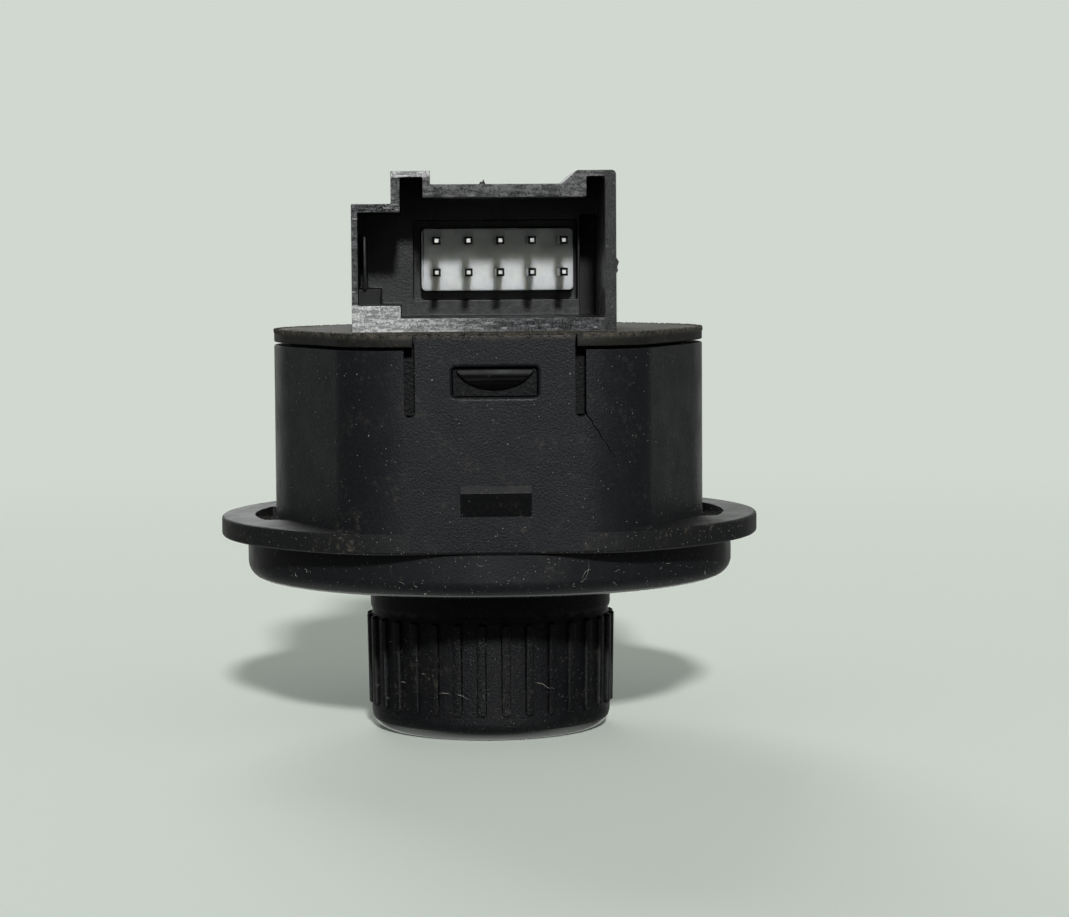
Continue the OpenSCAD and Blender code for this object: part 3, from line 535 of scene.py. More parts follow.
# Paler corners on the ribs at the sides
RIB_EDGE = MouldedPlastic("rib_edge_pale", (0.02, 0.0205, 0.022), 0.4, specular=0.4, grain=0.3, dust=0.3)
RIM = MouldedPlastic("rim_polished", (0.0068, 0.0071, 0.0082), 0.25, specular=0.9, grain=0.1, dust=0.1)
GRIT = BrokenEdge("shroud_break", (0.05, 0.051, 0.055), 0.3)
HEADER = HeaderNylon("header_white", (0.84, 0.86, 0.83), 0.5, depth=0.9)
TIN = DrawnMetal("pin_tin", (0.6, 0.6, 0.57), 0.42, metallic=1.0)
# Painted shade: the pins' tapers are coloured dark for the dark ring of shade and reflection round each tip
TIP_SHADE = DrawnMetal("pin_taper_painted_shade", (0.09, 0.09, 0.09), 0.35, metallic=1.0)
SPRING_STEEL = DrawnMetal("spring_steel", (0.42, 0.42, 0.43), 0.3, metallic=1.0)
BALL_STEEL = DrawnMetal("ball_steel", (0.6, 0.6, 0.62), 0.12, metallic=1.0)
BRONZE = DrawnMetal("contact_bronze", (0.58, 0.36, 0.16), 0.3, metallic=1.0, along=(10.0, 1.0, 1.0))
ACETAL = HeaderNylon("joystick_acetal", (0.68, 0.66, 0.58), 0.42)
ROTOR = MouldedPlastic("rotor_grey", (0.05, 0.055, 0.06), 0.45, grain=0.2, dust=0.0)
SILICONE = HeaderNylon("mat_silicone", (0.26, 0.27, 0.28), 0.7)
LAMINATE = BoardMask("board_mask", (0.035, 0.13, 0.06), 0.35)
CERAMIC = Finish("chip_ceramic", (0.02, 0.02, 0.02), 0.5)
DIRT = Finish("packed_dirt", (0.016, 0.0155, 0.014), 0.9, specular=0.1)
DUST = Finish("dust_specks", (0.28, 0.28, 0.26), 0.9, specular=0.1)
LINT = Finish("lint_hairs", (0.5, 0.48, 0.42), 0.8, specular=0.2)


class Solid:
    """One closed mesh in millimetres, which tools cut and a finish dresses."""

    weld_m: float = 0.000004
    flat_deg: float = 0.6
    edge_deg: float = 32.0
    crease_deg: float = 40.0

    def __init__(self, name: str, points: Sequence[Point3], faces: Sequence[Sequence[int]]) -> None:
        """Makes the mesh object.

        Args:
            name: Name of the piece.
            points: Corners in millimetres.
            faces: Corner numbers of each face.
        """
        mesh = bpy.data.meshes.new(name)
        mesh.from_pydata([[c * MM for c in p] for p in points], [], [list(f) for f in faces])
        mesh.update()
        self.obj = bpy.data.objects.new(name, mesh)
        bpy.context.scene.collection.objects.link(self.obj)

    @classmethod
    def prism(cls, name: str, outline: Sequence[Point2], low: float, high: float, axis: str = "Z") -> "Solid":
        """Makes a prism.

        Args:
            name: Name of the piece.
            outline: Its counterclockwise outline: x and y for axis Z, x and z for axis Y, y and z for axis X.
            low: Where it starts along the axis.
            high: Where it ends along the axis.
            axis: The axis it runs along.

        Returns:
            The solid.
        """
        count = len(outline)
        place: dict[str, Callable[[Point2, float], Point3]] = {
            "Z": lambda p, h: (p[0], p[1], h),
            "Y": lambda p, h: (p[0], h, p[1]),
            "X": lambda p, h: (h, p[0], p[1]),
        }
        points = [place[axis](p, low) for p in outline] + [place[axis](p, high) for p in outline]
        faces: list[list[int]] = [list(range(count))[::-1], list(range(count, 2 * count))]
        faces += [[i, (i + 1) % count, (i + 1) % count + count, i + count] for i in range(count)]
        if axis == "Y":
            faces = [f[::-1] for f in faces]
        return cls(name, points, faces)

    @classmethod
    def block(cls, name: str, low: Point3, high: Point3) -> "Solid":
        """Makes a box from two corners."""
        corners = [(low[0], low[1]), (high[0], low[1]), (high[0], high[1]), (low[0], high[1])]
        return cls.prism(name, corners, low[2], high[2])

    @classmethod
    def turned(cls, name: str, profile: Sequence[Point2], segments: int = 180) -> "Solid":
        """Turns a closed profile of radius and height about the Z axis.

        Args:
            name: Name of the piece.
            profile: Counterclockwise radius and height pairs. A radius of 0 closes the solid on the axis.
            segments: Number of steps round the axis.

        Returns:
            The solid.
        """
        points: list[Point3] = []
        rows: list[list[int]] = []
        for radius, height in profile:
            if radius < 1e-6:
                rows.append([len(points)] * segments)
                points.append((0.0, 0.0, height))
                continue
            rows.append([len(points) + i for i in range(segments)])
            for i in range(segments):
                turn = 2 * math.pi * i / segments
                points.append((radius * math.cos(turn), radius * math.sin(turn), height))
        faces = []
        for k in range(len(profile)):
            a, b = rows[k], rows[(k + 1) % len(profile)]
            for i in range(segments):
                j = (i + 1) % segments
                ring = [a[i], a[j], b[j], b[i]]
                face = [v for n, v in enumerate(ring) if v != ring[n - 1]]
                if len(face) > 2:
                    faces.append(face)
        return cls(name, points, faces)

    def work(self, tools: Iterable["Solid"], how: Cut = Cut.AWAY) -> "Solid":
        """Cuts, adds or keeps with other solids, which are used up.

        Args:
            tools: The other solids.
            how: What they do.

        Returns:
            This solid.
        """
        used = list(tools)
        for tool in used:
            change = self.obj.modifiers.new("work", "BOOLEAN")
            change.object = tool.obj
            change.operation = how.value
            change.solver = "EXACT"
        self.bake()
        for tool in used:
            bpy.data.objects.remove(tool.obj)
        return self

    def bake(self) -> None:
        """Turns the modifiers into plain mesh."""
        seen = bpy.context.evaluated_depsgraph_get()
        seen.update()
        made = bpy.data.meshes.new_from_object(self.obj.evaluated_get(seen), depsgraph=seen)
        self.obj.modifiers.clear()
        old = self.obj.data
        self.obj.data = made
        bpy.data.meshes.remove(old)

    def half_turn(self) -> "Solid":
        """Turns the solid to the opposite side of the Z axis."""
        self.obj.data.transform(Matrix.Rotation(math.pi, 4, "Z"))
        return self

    def soften(self, width: float, segments: int = 2,
               share: Callable[[Vector], float] = lambda c: 1.0) -> "Solid":
        """Rounds the edges a little, as a mould does.

        Args:
            width: Width of the rounding in millimetres.
            segments: Number of faces across the rounding.
            share: Gives from an edge's middle in millimetres how much of the width it gets.

        Returns:
            This solid.
        """
        tidy = self.obj.modifiers.new("weld", "WELD")
        tidy.merge_threshold = self.weld_m
        flat = self.obj.modifiers.new("flat", "DECIMATE")
        flat.decimate_type = "DISSOLVE"
        flat.angle_limit = math.radians(self.flat_deg)
        self.bake()
        mesh = bmesh.new()
        mesh.from_mesh(self.obj.data)
        weight = mesh.edges.layers.float.new("bevel_weight_edge")
        for edge in mesh.edges:
            if edge.calc_face_angle(0.0) > math.radians(self.edge_deg):
                edge[weight] = share((edge.verts[0].co + edge.verts[1].co) / (2 * MM))
        mesh.to_mesh(self.obj.data)
        mesh.free()
        bevel = self.obj.modifiers.new("soften", "BEVEL")
        bevel.width = width * MM
        bevel.segments = segments
        bevel.limit_method = "WEIGHT"
        bevel.use_clamp_overlap = False
        bevel.miter_outer = "MITER_ARC"
        self.bake()
        return self

    def smooth(self) -> "Solid":
        """Smooths the shading except over sharp edges.

        Returns:
            This solid.
        """
        self.obj.data.shade_smooth()
        self.obj.data.set_sharp_from_angle(angle=math.radians(self.crease_deg))
        even = self.obj.modifiers.new("even", "WEIGHTED_NORMAL")
        even.keep_sharp = True
        even.weight = 80
        self.bake()
        return self

    def recolour(self, finish: Finish, chosen: Callable[[Vector, Vector], bool]) -> None:
        """Gives some faces another finish.

        Args:
            finish: The other finish.
            chosen: Tells from a face's middle in millimetres and its direction whether it gets the finish.
        """
        mesh = self.obj.data
        mesh.materials.append(finish.material())
        for face in mesh.polygons:
            if chosen(face.center / MM, face.normal):
                face.material_index = len(mesh.materials) - 1

    def dress(self, finish: Finish, body: Body, slot: str, nodes: Sequence[str] = ()) -> bpy.types.Object:
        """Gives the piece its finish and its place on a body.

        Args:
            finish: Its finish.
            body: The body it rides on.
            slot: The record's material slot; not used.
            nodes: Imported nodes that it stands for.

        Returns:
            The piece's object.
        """
        self.obj.data.materials.clear()
        self.obj.data.materials.append(finish.material())
        return settle(self.obj, body, nodes)


def settle(obj: bpy.types.Object, body: Body, nodes: Sequence[str] = ()) -> bpy.types.Object:
    """Puts a finished piece on its body.

    Args:
        obj: The piece.
        body: The body it rides on.
        nodes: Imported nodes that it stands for.

    Returns:
        The piece.
    """
    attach(obj, body.value)
    if nodes:
        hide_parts(*nodes)
    LOG.info("%s: %d faces", obj.name, len(obj.data.polygons))
    return obj


def arc(centre: Point2, radius: float, start: float, end: float, step: float = 3.0) -> list[Point2]:
    """Gives points along an arc.

    Args:
        centre: Its centre.
        radius: Its radius.
        start: First angle in degrees.
        end: Last angle in degrees.
        step: Largest step in degrees.

    Returns:
        The points, both ends included.
    """
    count = max(1, math.ceil(abs(end - start) / step))
    turns = [math.radians(start + (end - start) * i / count) for i in range(count + 1)]
    return [(centre[0] + radius * math.cos(t), centre[1] + radius * math.sin(t)) for t in turns]


def oblong(x0: float, z0: float, x1: float, z1: float) -> list[Point2]:
    """Gives a rectangle's outline."""
    return [(x0, z0), (x1, z0), (x1, z1), (x0, z1)]


def rounded(x0: float, z0: float, x1: float, z1: float, corner: float) -> list[Point2]:
    """Gives the outline of a rectangle with round corners.

    Args:
        x0: Left side.
        z0: Lower side.
        x1: Right side.
        z1: Upper side.
        corner: Radius of the corners.

    Returns:
        Counterclockwise points.
    """
    line: list[Point2] = []
    for x, z, start in ((x1 - corner, z0 + corner, 270.0), (x1 - corner, z1 - corner, 0.0),
                        (x0 + corner, z1 - corner, 90.0), (x0 + corner, z0 + corner, 180.0)):
        line += arc((x, z), corner, start, start + 90.0, 15.0)
    return line


class Pattern:
    """A geometry node tree with named inputs, used through a modifier and then made plain mesh.

    Its inputs are in metres and radians.
    """

    def __init__(self, name: str, inputs: dict[str, tuple[str, object]]) -> None:
        """Starts the tree.

        Args:
            name: Name of the tree.
            inputs: Input name to its socket type and default.
        """
        self.tree = bpy.data.node_groups.new(name, "GeometryNodeTree")
        plan = self.tree.interface
        plan.new_socket("Geometry", in_out="INPUT", socket_type="NodeSocketGeometry")
        self.sockets = {}
        for label, (kind, default) in inputs.items():
            socket = plan.new_socket(label, in_out="INPUT", socket_type=kind)
            if default is not None:
                socket.default_value = default
            self.sockets[label] = socket.identifier
        plan.new_socket("Geometry", in_out="OUTPUT", socket_type="NodeSocketGeometry")
        self.book = NodeBook(self.tree)
        self.inlet = self.book.add("NodeGroupInput")
        self.outlet = self.book.add("NodeGroupOutput")

    def value(self, label: str) -> bpy.types.NodeSocket:
        """Gives the socket of a named input."""
        return self.inlet.outputs[label]

    def close(self, instances: bpy.types.NodeSocket) -> None:
        """Ends the tree in Realize Instances and Set Material.

        Args:
            instances: The geometry to end with.
        """
        real = self.book.add("GeometryNodeRealizeInstances", {"Geometry": instances})
        painted = self.book.add("GeometryNodeSetMaterial", {"Geometry": real.outputs["Geometry"],
                                                            "Material": self.value("Material")})
        self.book.link(painted.outputs["Geometry"], self.outlet.inputs["Geometry"])

    def run(self, obj: bpy.types.Object, **values: object) -> bpy.types.Object:
        """Runs the tree on an object and keeps the plain mesh.

        Args:
            obj: The object whose mesh goes in.
            values: Input name, with spaces as underscores, to its value.

        Returns:
            The object with the result.
        """
        change = obj.modifiers.new(self.tree.name, "NODES")
        change.node_group = self.tree
        for label, value in values.items():
            change[self.sockets[label.replace("_", " ")]] = value
        seen = bpy.context.evaluated_depsgraph_get()
        seen.update()
        made = bpy.data.meshes.new_from_object(obj.evaluated_get(seen), depsgraph=seen)
        obj.modifiers.clear()
        old = obj.data
        obj.data = made
        bpy.data.meshes.remove(old)
        return obj


class RoundPattern(Pattern):
    """Copies a mesh at even turns about the Z axis, such as the knob's ribs."""

    def __init__(self) -> None:
        """Builds the tree."""
        super().__init__("turned_copies", {
            "Count": ("NodeSocketInt", 32), "First Turn": ("NodeSocketFloat", 0.0),
            "Material": ("NodeSocketMaterial", None)})
        book = self.book
        points = book.add("GeometryNodePoints", {"Count": self.value("Count")})
        number = book.add("GeometryNodeInputIndex")
        step = book.add("ShaderNodeMath", {0: math.tau, 1: self.value("Count")}, operation="DIVIDE")
        turn = book.add("ShaderNodeMath", {0: number.outputs["Index"], 1: step.outputs[0],
                                           2: self.value("First Turn")}, operation="MULTIPLY_ADD")
        angles = book.add("ShaderNodeCombineXYZ", {"Z": turn.outputs[0]})
        copies = book.add("GeometryNodeInstanceOnPoints", {"Points": points.outputs[0],
                                                           "Instance": self.value("Geometry"),
                                                           "Rotation": angles.outputs["Vector"]})
        self.close(copies.outputs["Instances"])


class RowPattern(Pattern):
    """Copies a mesh at an even pitch along X, such as a row of contact pins."""

    def __init__(self) -> None:
        """Builds the tree."""
        super().__init__("row_copies", {
            "Count": ("NodeSocketInt", 5), "Pitch": ("NodeSocketFloat", 0.00254),
            "Material": ("NodeSocketMaterial", None)})
        book = self.book
        number = book.add("GeometryNodeInputIndex")
        along = book.add("ShaderNodeMath", {0: number.outputs["Index"], 1: self.value("Pitch")},
                         operation="MULTIPLY")
        place = book.add("ShaderNodeCombineXYZ", {"X": along.outputs[0]})
        points = book.add("GeometryNodePoints", {"Count": self.value("Count"),
                                                 "Position": place.outputs["Vector"]})
        copies = book.add("GeometryNodeInstanceOnPoints", {"Points": points.outputs[0],
                                                           "Instance": self.value("Geometry")})
        self.close(copies.outputs["Instances"])


class GrainPattern(Pattern):
    """Scatters small rough grains over a mesh, for dust, burrs and broken plastic."""

    def __init__(self) -> None:
        """Builds the tree."""
        super().__init__("scattered_grains", {
            "Density": ("NodeSocketFloat", 1e6), "Smallest": ("NodeSocketFloat", 2e-5),
            "Largest": ("NodeSocketFloat", 8e-5), "Flatness": ("NodeSocketFloat", 0.6),
            "Seed": ("NodeSocketInt", 1), "Material": ("NodeSocketMaterial", None)})
        book, seed = self.book, self.value("Seed")
        spread = book.add("GeometryNodeDistributePointsOnFaces", {
            "Mesh": self.value("Geometry"), "Density": self.value("Density"), "Seed": seed},
            distribute_method="RANDOM")
        grain = book.add("GeometryNodeMeshIcoSphere", {"Radius": 1.0, "Subdivisions": 1})
        size = book.add("FunctionNodeRandomValue", {
            2: self.value("Smallest"), 3: self.value("Largest"), "Seed": seed}, data_type="FLOAT").outputs[1]
        flat = book.add("ShaderNodeMath", {0: size, 1: self.value("Flatness")}, operation="MULTIPLY")
        scale = book.add("ShaderNodeCombineXYZ", {"X": size, "Y": size, "Z": flat.outputs[0]})
        lean, full_turn = 0.6, 6.283
        turned = book.add("FunctionNodeRandomValue", {
            0: (0.0, 0.0, 0.0), 1: (lean, lean, full_turn), "Seed": seed}, data_type="FLOAT_VECTOR")
        swung = book.add("FunctionNodeRotateRotation", {
            "Rotation": spread.outputs["Rotation"], "Rotate By": turned.outputs[0]}, rotation_space="LOCAL")
        copies = book.add("GeometryNodeInstanceOnPoints", {"Points": spread.outputs["Points"],
                                                           "Instance": grain.outputs["Mesh"],
                                                           "Rotation": swung.outputs[0],
                                                           "Scale": scale.outputs["Vector"]})
        self.close(copies.outputs["Instances"])


@dataclass
class KeyedOutline:
    """Outline shared by the barrel and the cover plate: round, with a flat front and straight sides."""

    radius: float = 17.75
    front: float = 20.2
    flat_half: float = 6.6
    corner: float = 6.2

    def points(self, inset: float = 0.0) -> list[Point2]:
        """Gives the outline.

        Args:
            inset: How far inside the barrel's own outline it runs.

        Returns:
            Counterclockwise points.
        """
        back = self.front - self.corner
        reach = math.hypot(self.flat_half, back)
        lean = math.degrees(math.acos((self.radius - self.corner) / reach) - math.atan2(back, self.flat_half))
        small = self.corner - inset
        line = arc((0.0, 0.0), self.radius - inset, lean, 180.0 - lean, 2.5)
        line += arc((-self.flat_half, -back), small, 180.0 - lean, 270.0, 5.0)
        line += arc((self.flat_half, -back), small, 270.0, 360.0 + lean, 5.0)
        return line

    def back_wall(self, half: float) -> float:
        """Gives how far from the axis the round back lies, a half width beside its middle."""
        return math.sqrt(self.radius**2 - half**2)


@dataclass
class BarrelHousing:
    """Round barrel with its flange, spring tongues, windows, wedges and crack."""

    outline: KeyedOutline = field(default_factory=KeyedOutline)
    rim: float = 14.05
    tongue_low: float = 5.0
    tongue_top: float = 15.3
    tongue_half: float = 6.135
    wall: float = 1.6
    hole: float = 8.6
    flange_r: float = 22.24
    flange_corner: float = 10.5
    flange_t: float = 1.65
    pocket_r: float = 19.5
    pocket_reach: float = 21.5
    pocket_depth: float = 0.9
    slot_x: float = 6.56
    slot_w: float = 0.85
    slot_low: float = 8.9
    rim_corner: float = 0.9
    window_half: float = 3.3
    window: Point2 = (10.45, 12.75)
    window_corner: float = 0.3
    wedge_half: float = 2.725
    wedge: Point2 = (1.3, 3.7)
    wedge_proud: float = 0.7
    wedge_ridge: float = 0.55
    edge_round: float = 0.26
    crack_half: float = 0.06
    crack_taper: float = 0.042
    crack_depth: float = 2.2
    crack: tuple[Point2, ...] = (
        (6.95, 9.3), (7.02, 9.0), (7.38, 8.62), (7.52, 8.2), (7.95, 7.74), (8.1, 7.3), (8.46, 6.9),
        (8.72, 6.44), (8.86, 6.2), (9.24, 5.72))

    def flange_line(self) -> list[Point2]:
        """Gives the flange's outline: a disc with rounded corners beside a flat front.

        Returns:
            Counterclockwise points.
        """
        back = self.outline.front - self.flange_corner
        side = math.sqrt((self.flange_r - self.flange_corner)**2 - back**2)
        lean = math.degrees(math.atan2(back, side))
        line = arc((0.0, 0.0), self.flange_r, -lean, 180.0 + lean, 2.0)
        line += arc((-side, -back), self.flange_corner, 180.0 + lean, 270.0, 3.0)[1:]
        return line + arc((side, -back), self.flange_corner, 270.0, 360.0 - lean, 3.0)[:-1]

    def pocket_line(self, side: int, start: float, end: float, gap: float = 0.0) -> list[Point2]:
        """Gives the outline of the flange's pocket beside the barrel, or of part of it.

        Args:
            side: -1 for the left pocket and 1 for the right one.
            start: Angle at its front end in degrees.
            end: Angle at its rear end in degrees.
            gap: How far inside the pocket the outline runs.

        Returns:
            Counterclockwise points.
        """
        near = arc((0.0, 0.0), self.outline.radius + gap, start, end, 2.5)
        far = arc((0.0, 0.0), self.pocket_r - gap, end - 2.0, start + 2.0, 2.5)
        ring = [(side * x, y) for x, y in near + far]
        return ring if side < 0 else ring[::-1]

    def tongue_tools(self) -> list[Solid]:
        """Makes the tools that cut the front tongue's slots, window and rim corners.

        Returns:
            The tool solids.
        """
        low, high, above = -FAR, -12.0, 40.0
        half, corner, past_rim = self.slot_w / 2, self.rim_corner, self.rim + 0.5
        tools = []
        for side in (-1, 1):
            x = side * self.slot_x
            round_end = arc((x, self.slot_low + half), half, 180.0, 360.0, 20.0)
            slot = round_end + [(x + half, above), (x - half, above)]
            tools.append(Solid.prism("slot", slot, low, high, "Y"))
            edge = side * (self.slot_x + half - 0.01)
            curve = arc((edge + side * corner, self.rim - corner), corner, 90.0, 90.0 + side * 90.0, 15.0)
            fill = curve + [(edge, past_rim), (edge + side * corner, past_rim)]
            tools.append(Solid.prism("corner", fill if side > 0 else fill[::-1], low, high, "Y"))
        sill, lintel = self.window
        shape = rounded(-self.window_half, sill, self.window_half, lintel, self.window_corner)
        tools.append(Solid.prism("window", shape, low, high, "Y"))
        return tools

    def rounding(self, middle: Vector) -> float:
        """Gives the share of rounding that an edge gets: none beside the slots and at the barrel's foot.

        Args:
            middle: The edge's middle in millimetres.

        Returns:
            A share from 0 to 1.
        """
        close = 0.1
        reach = math.hypot(middle.x, middle.y)
        if middle.z > self.tongue_low:
            near = abs(middle.x) < self.slot_x + self.slot_w / 2 + self.rim_corner + close
            at_rim = self.rim - close < middle.z < self.rim + close
            beside = near and (at_rim or abs(middle.x) > self.tongue_half - 0.05)
            return 0.0 if beside else 0.5 if at_rim else 1.0
        edge_below = middle.z < -1.0 and reach > self.pocket_r
        edge_above = abs(middle.z) < close and reach > self.pocket_r + 1.0 and middle.y > -19.0
        return 1.0 if edge_below or edge_above else 0.0

    def tongues(self) -> list[Solid]:
        """Makes the tongues' upper parts, which stand above the rim.

        Returns:
            The front one and the back one.
        """
        front = Solid.block("tongue", (-self.tongue_half, -self.outline.front, self.tongue_low),
                            (self.tongue_half, -self.outline.front + self.wall, self.tongue_top))
        reach = math.degrees(math.asin(self.tongue_half / self.outline.radius))
        inner = self.outline.radius - self.wall
        inner_reach = math.degrees(math.asin(self.tongue_half / inner))
        sector = arc((0.0, 0.0), self.outline.radius, 90.0 - reach, 90.0 + reach, 2.5)
        sector += arc((0.0, 0.0), inner, 90.0 + inner_reach, 90.0 - inner_reach, 2.5)
        return [front, Solid.prism("tongue_back", sector, self.tongue_low, self.tongue_top)]

    def wedge_solid(self, wall_y: float) -> Solid:
        """Makes a panel wedge on a front wall.

        Args:
            wall_y: Distance from the axis to the wall's outer face.

        Returns:
            The wedge.
        """
        low, high = self.wedge
        root = -wall_y + 0.8
        shape = [(root, high), (-wall_y, high), (-wall_y - self.wedge_proud, high - self.wedge_ridge),
                 (-wall_y - 0.05, low), (root, low)]
        return Solid.prism("wedge", shape, -self.wedge_half, self.wedge_half, "X")

    def crack_tool(self) -> Solid:
        """Makes the thin crooked wedge that opens the crack.

        Returns:
            The tool solid.
        """
        last = len(self.crack) - 1
        halves = [self.crack_half - self.crack_taper * k / last for k in range(last + 1)]
        left = [(x - half, z) for (x, z), half in zip(self.crack, halves)]
        right = [(x + half, z) for (x, z), half in zip(self.crack, halves)]
        return Solid.prism("crack", left + right[::-1], -FAR, -self.outline.front + self.crack_depth, "Y")

    def build(self) -> Solid:
        """Makes the barrel and dresses it.

        Returns:
            The barrel.
        """
        body = Solid.prism("barrel_shell", self.outline.points(), -0.4, self.rim)
        body.work([Solid.prism("flange", self.flange_line(), -self.flange_t, 0.0)] + self.tongues(), Cut.ADD)
        tools = [Solid.prism("hollow", self.outline.points(self.wall), 0.0, FAR),
                 Solid.turned("hole", [(0.0, -5.0), (self.hole, -5.0), (self.hole, 5.0), (0.0, 5.0)])]
        tools += self.tongue_tools() + [tool.half_turn() for tool in self.tongue_tools()]
        for side in (-1, 1):
            line = self.pocket_line(side, -self.pocket_reach, self.pocket_reach)
            tools.append(Solid.prism("pocket", line, -self.pocket_depth, 1.0))
        body.work(tools)
        body.soften(self.edge_round, 3, self.rounding)
        back_y = self.outline.back_wall(self.wedge_half) - 0.25
        wedges = [self.wedge_solid(self.outline.front), self.wedge_solid(back_y).half_turn()]
        body.work([wedge.soften(0.04) for wedge in wedges], Cut.ADD)
        body.work([self.crack_tool()])
        body.smooth()
        body.dress(BARREL, Body.HOUSING, "barrel_plastic", ["barrel_housing"])
        self.paint(body)
        return body

    def paint(self, barrel: Solid) -> None:
        """Gives the flange its own finish, and paints shade on the front wedge's downward faces and a
        highlight on its upward faces.

        Args:
            barrel: The finished barrel.
        """
        on_wedge, wall_y = self.wedge_half + 0.05, -self.outline.front - 0.03
        barrel.recolour(FLANGE, lambda c, n: c.z < 0.02)
        # Painted shade on the wedge's downward faces
        barrel.recolour(SHADED, lambda c, n: abs(c.x) < on_wedge and c.y < wall_y and n.z < -0.15)
        # Painted highlight on the wedge's upward faces
        barrel.recolour(CREST_HIGHLIGHT, lambda c, n: abs(c.x) < on_wedge and c.y < wall_y and n.z > 0.3)


@dataclass
class FrontBezel:
    """Bezel ring under the flange, with a fillet round its front edge."""

    top: float
    radius: float = 20.09
    depth: float = 3.5
    wall: float = 1.6
    floor: float = 2.0
    fillet: float = 1.4
    hole: float = 11.2
    lip: float = 1.4
    hole_edge: float = 0.15
    top_edge: float = 0.1

    def build(self) -> Solid:
        """Turns the ring and dresses it.

        Returns:
            The ring.
        """
        low = self.top - self.depth
        floor, lip, wall = low + self.floor, self.hole + self.lip, self.radius - self.wall
        curve = arc((self.radius - self.fillet, low + self.fillet), self.fillet, 270.0, 360.0, 9.0)
        profile = [(self.hole + self.hole_edge, low)] + curve + [
            (self.radius, self.top - self.top_edge), (self.radius - self.top_edge, self.top),
            (wall, self.top), (wall, floor), (lip, floor), (lip, self.top), (self.hole, self.top),
            (self.hole, low + self.hole_edge)]
        ring = Solid.turned("bezel_ring", profile, 240)
        ring.smooth()
        ring.dress(BEZEL, Body.HOUSING, "bezel_plastic", ["front_bezel"])
        ring.recolour(RIM, lambda c, n: n.z < -0.85)
        return ring


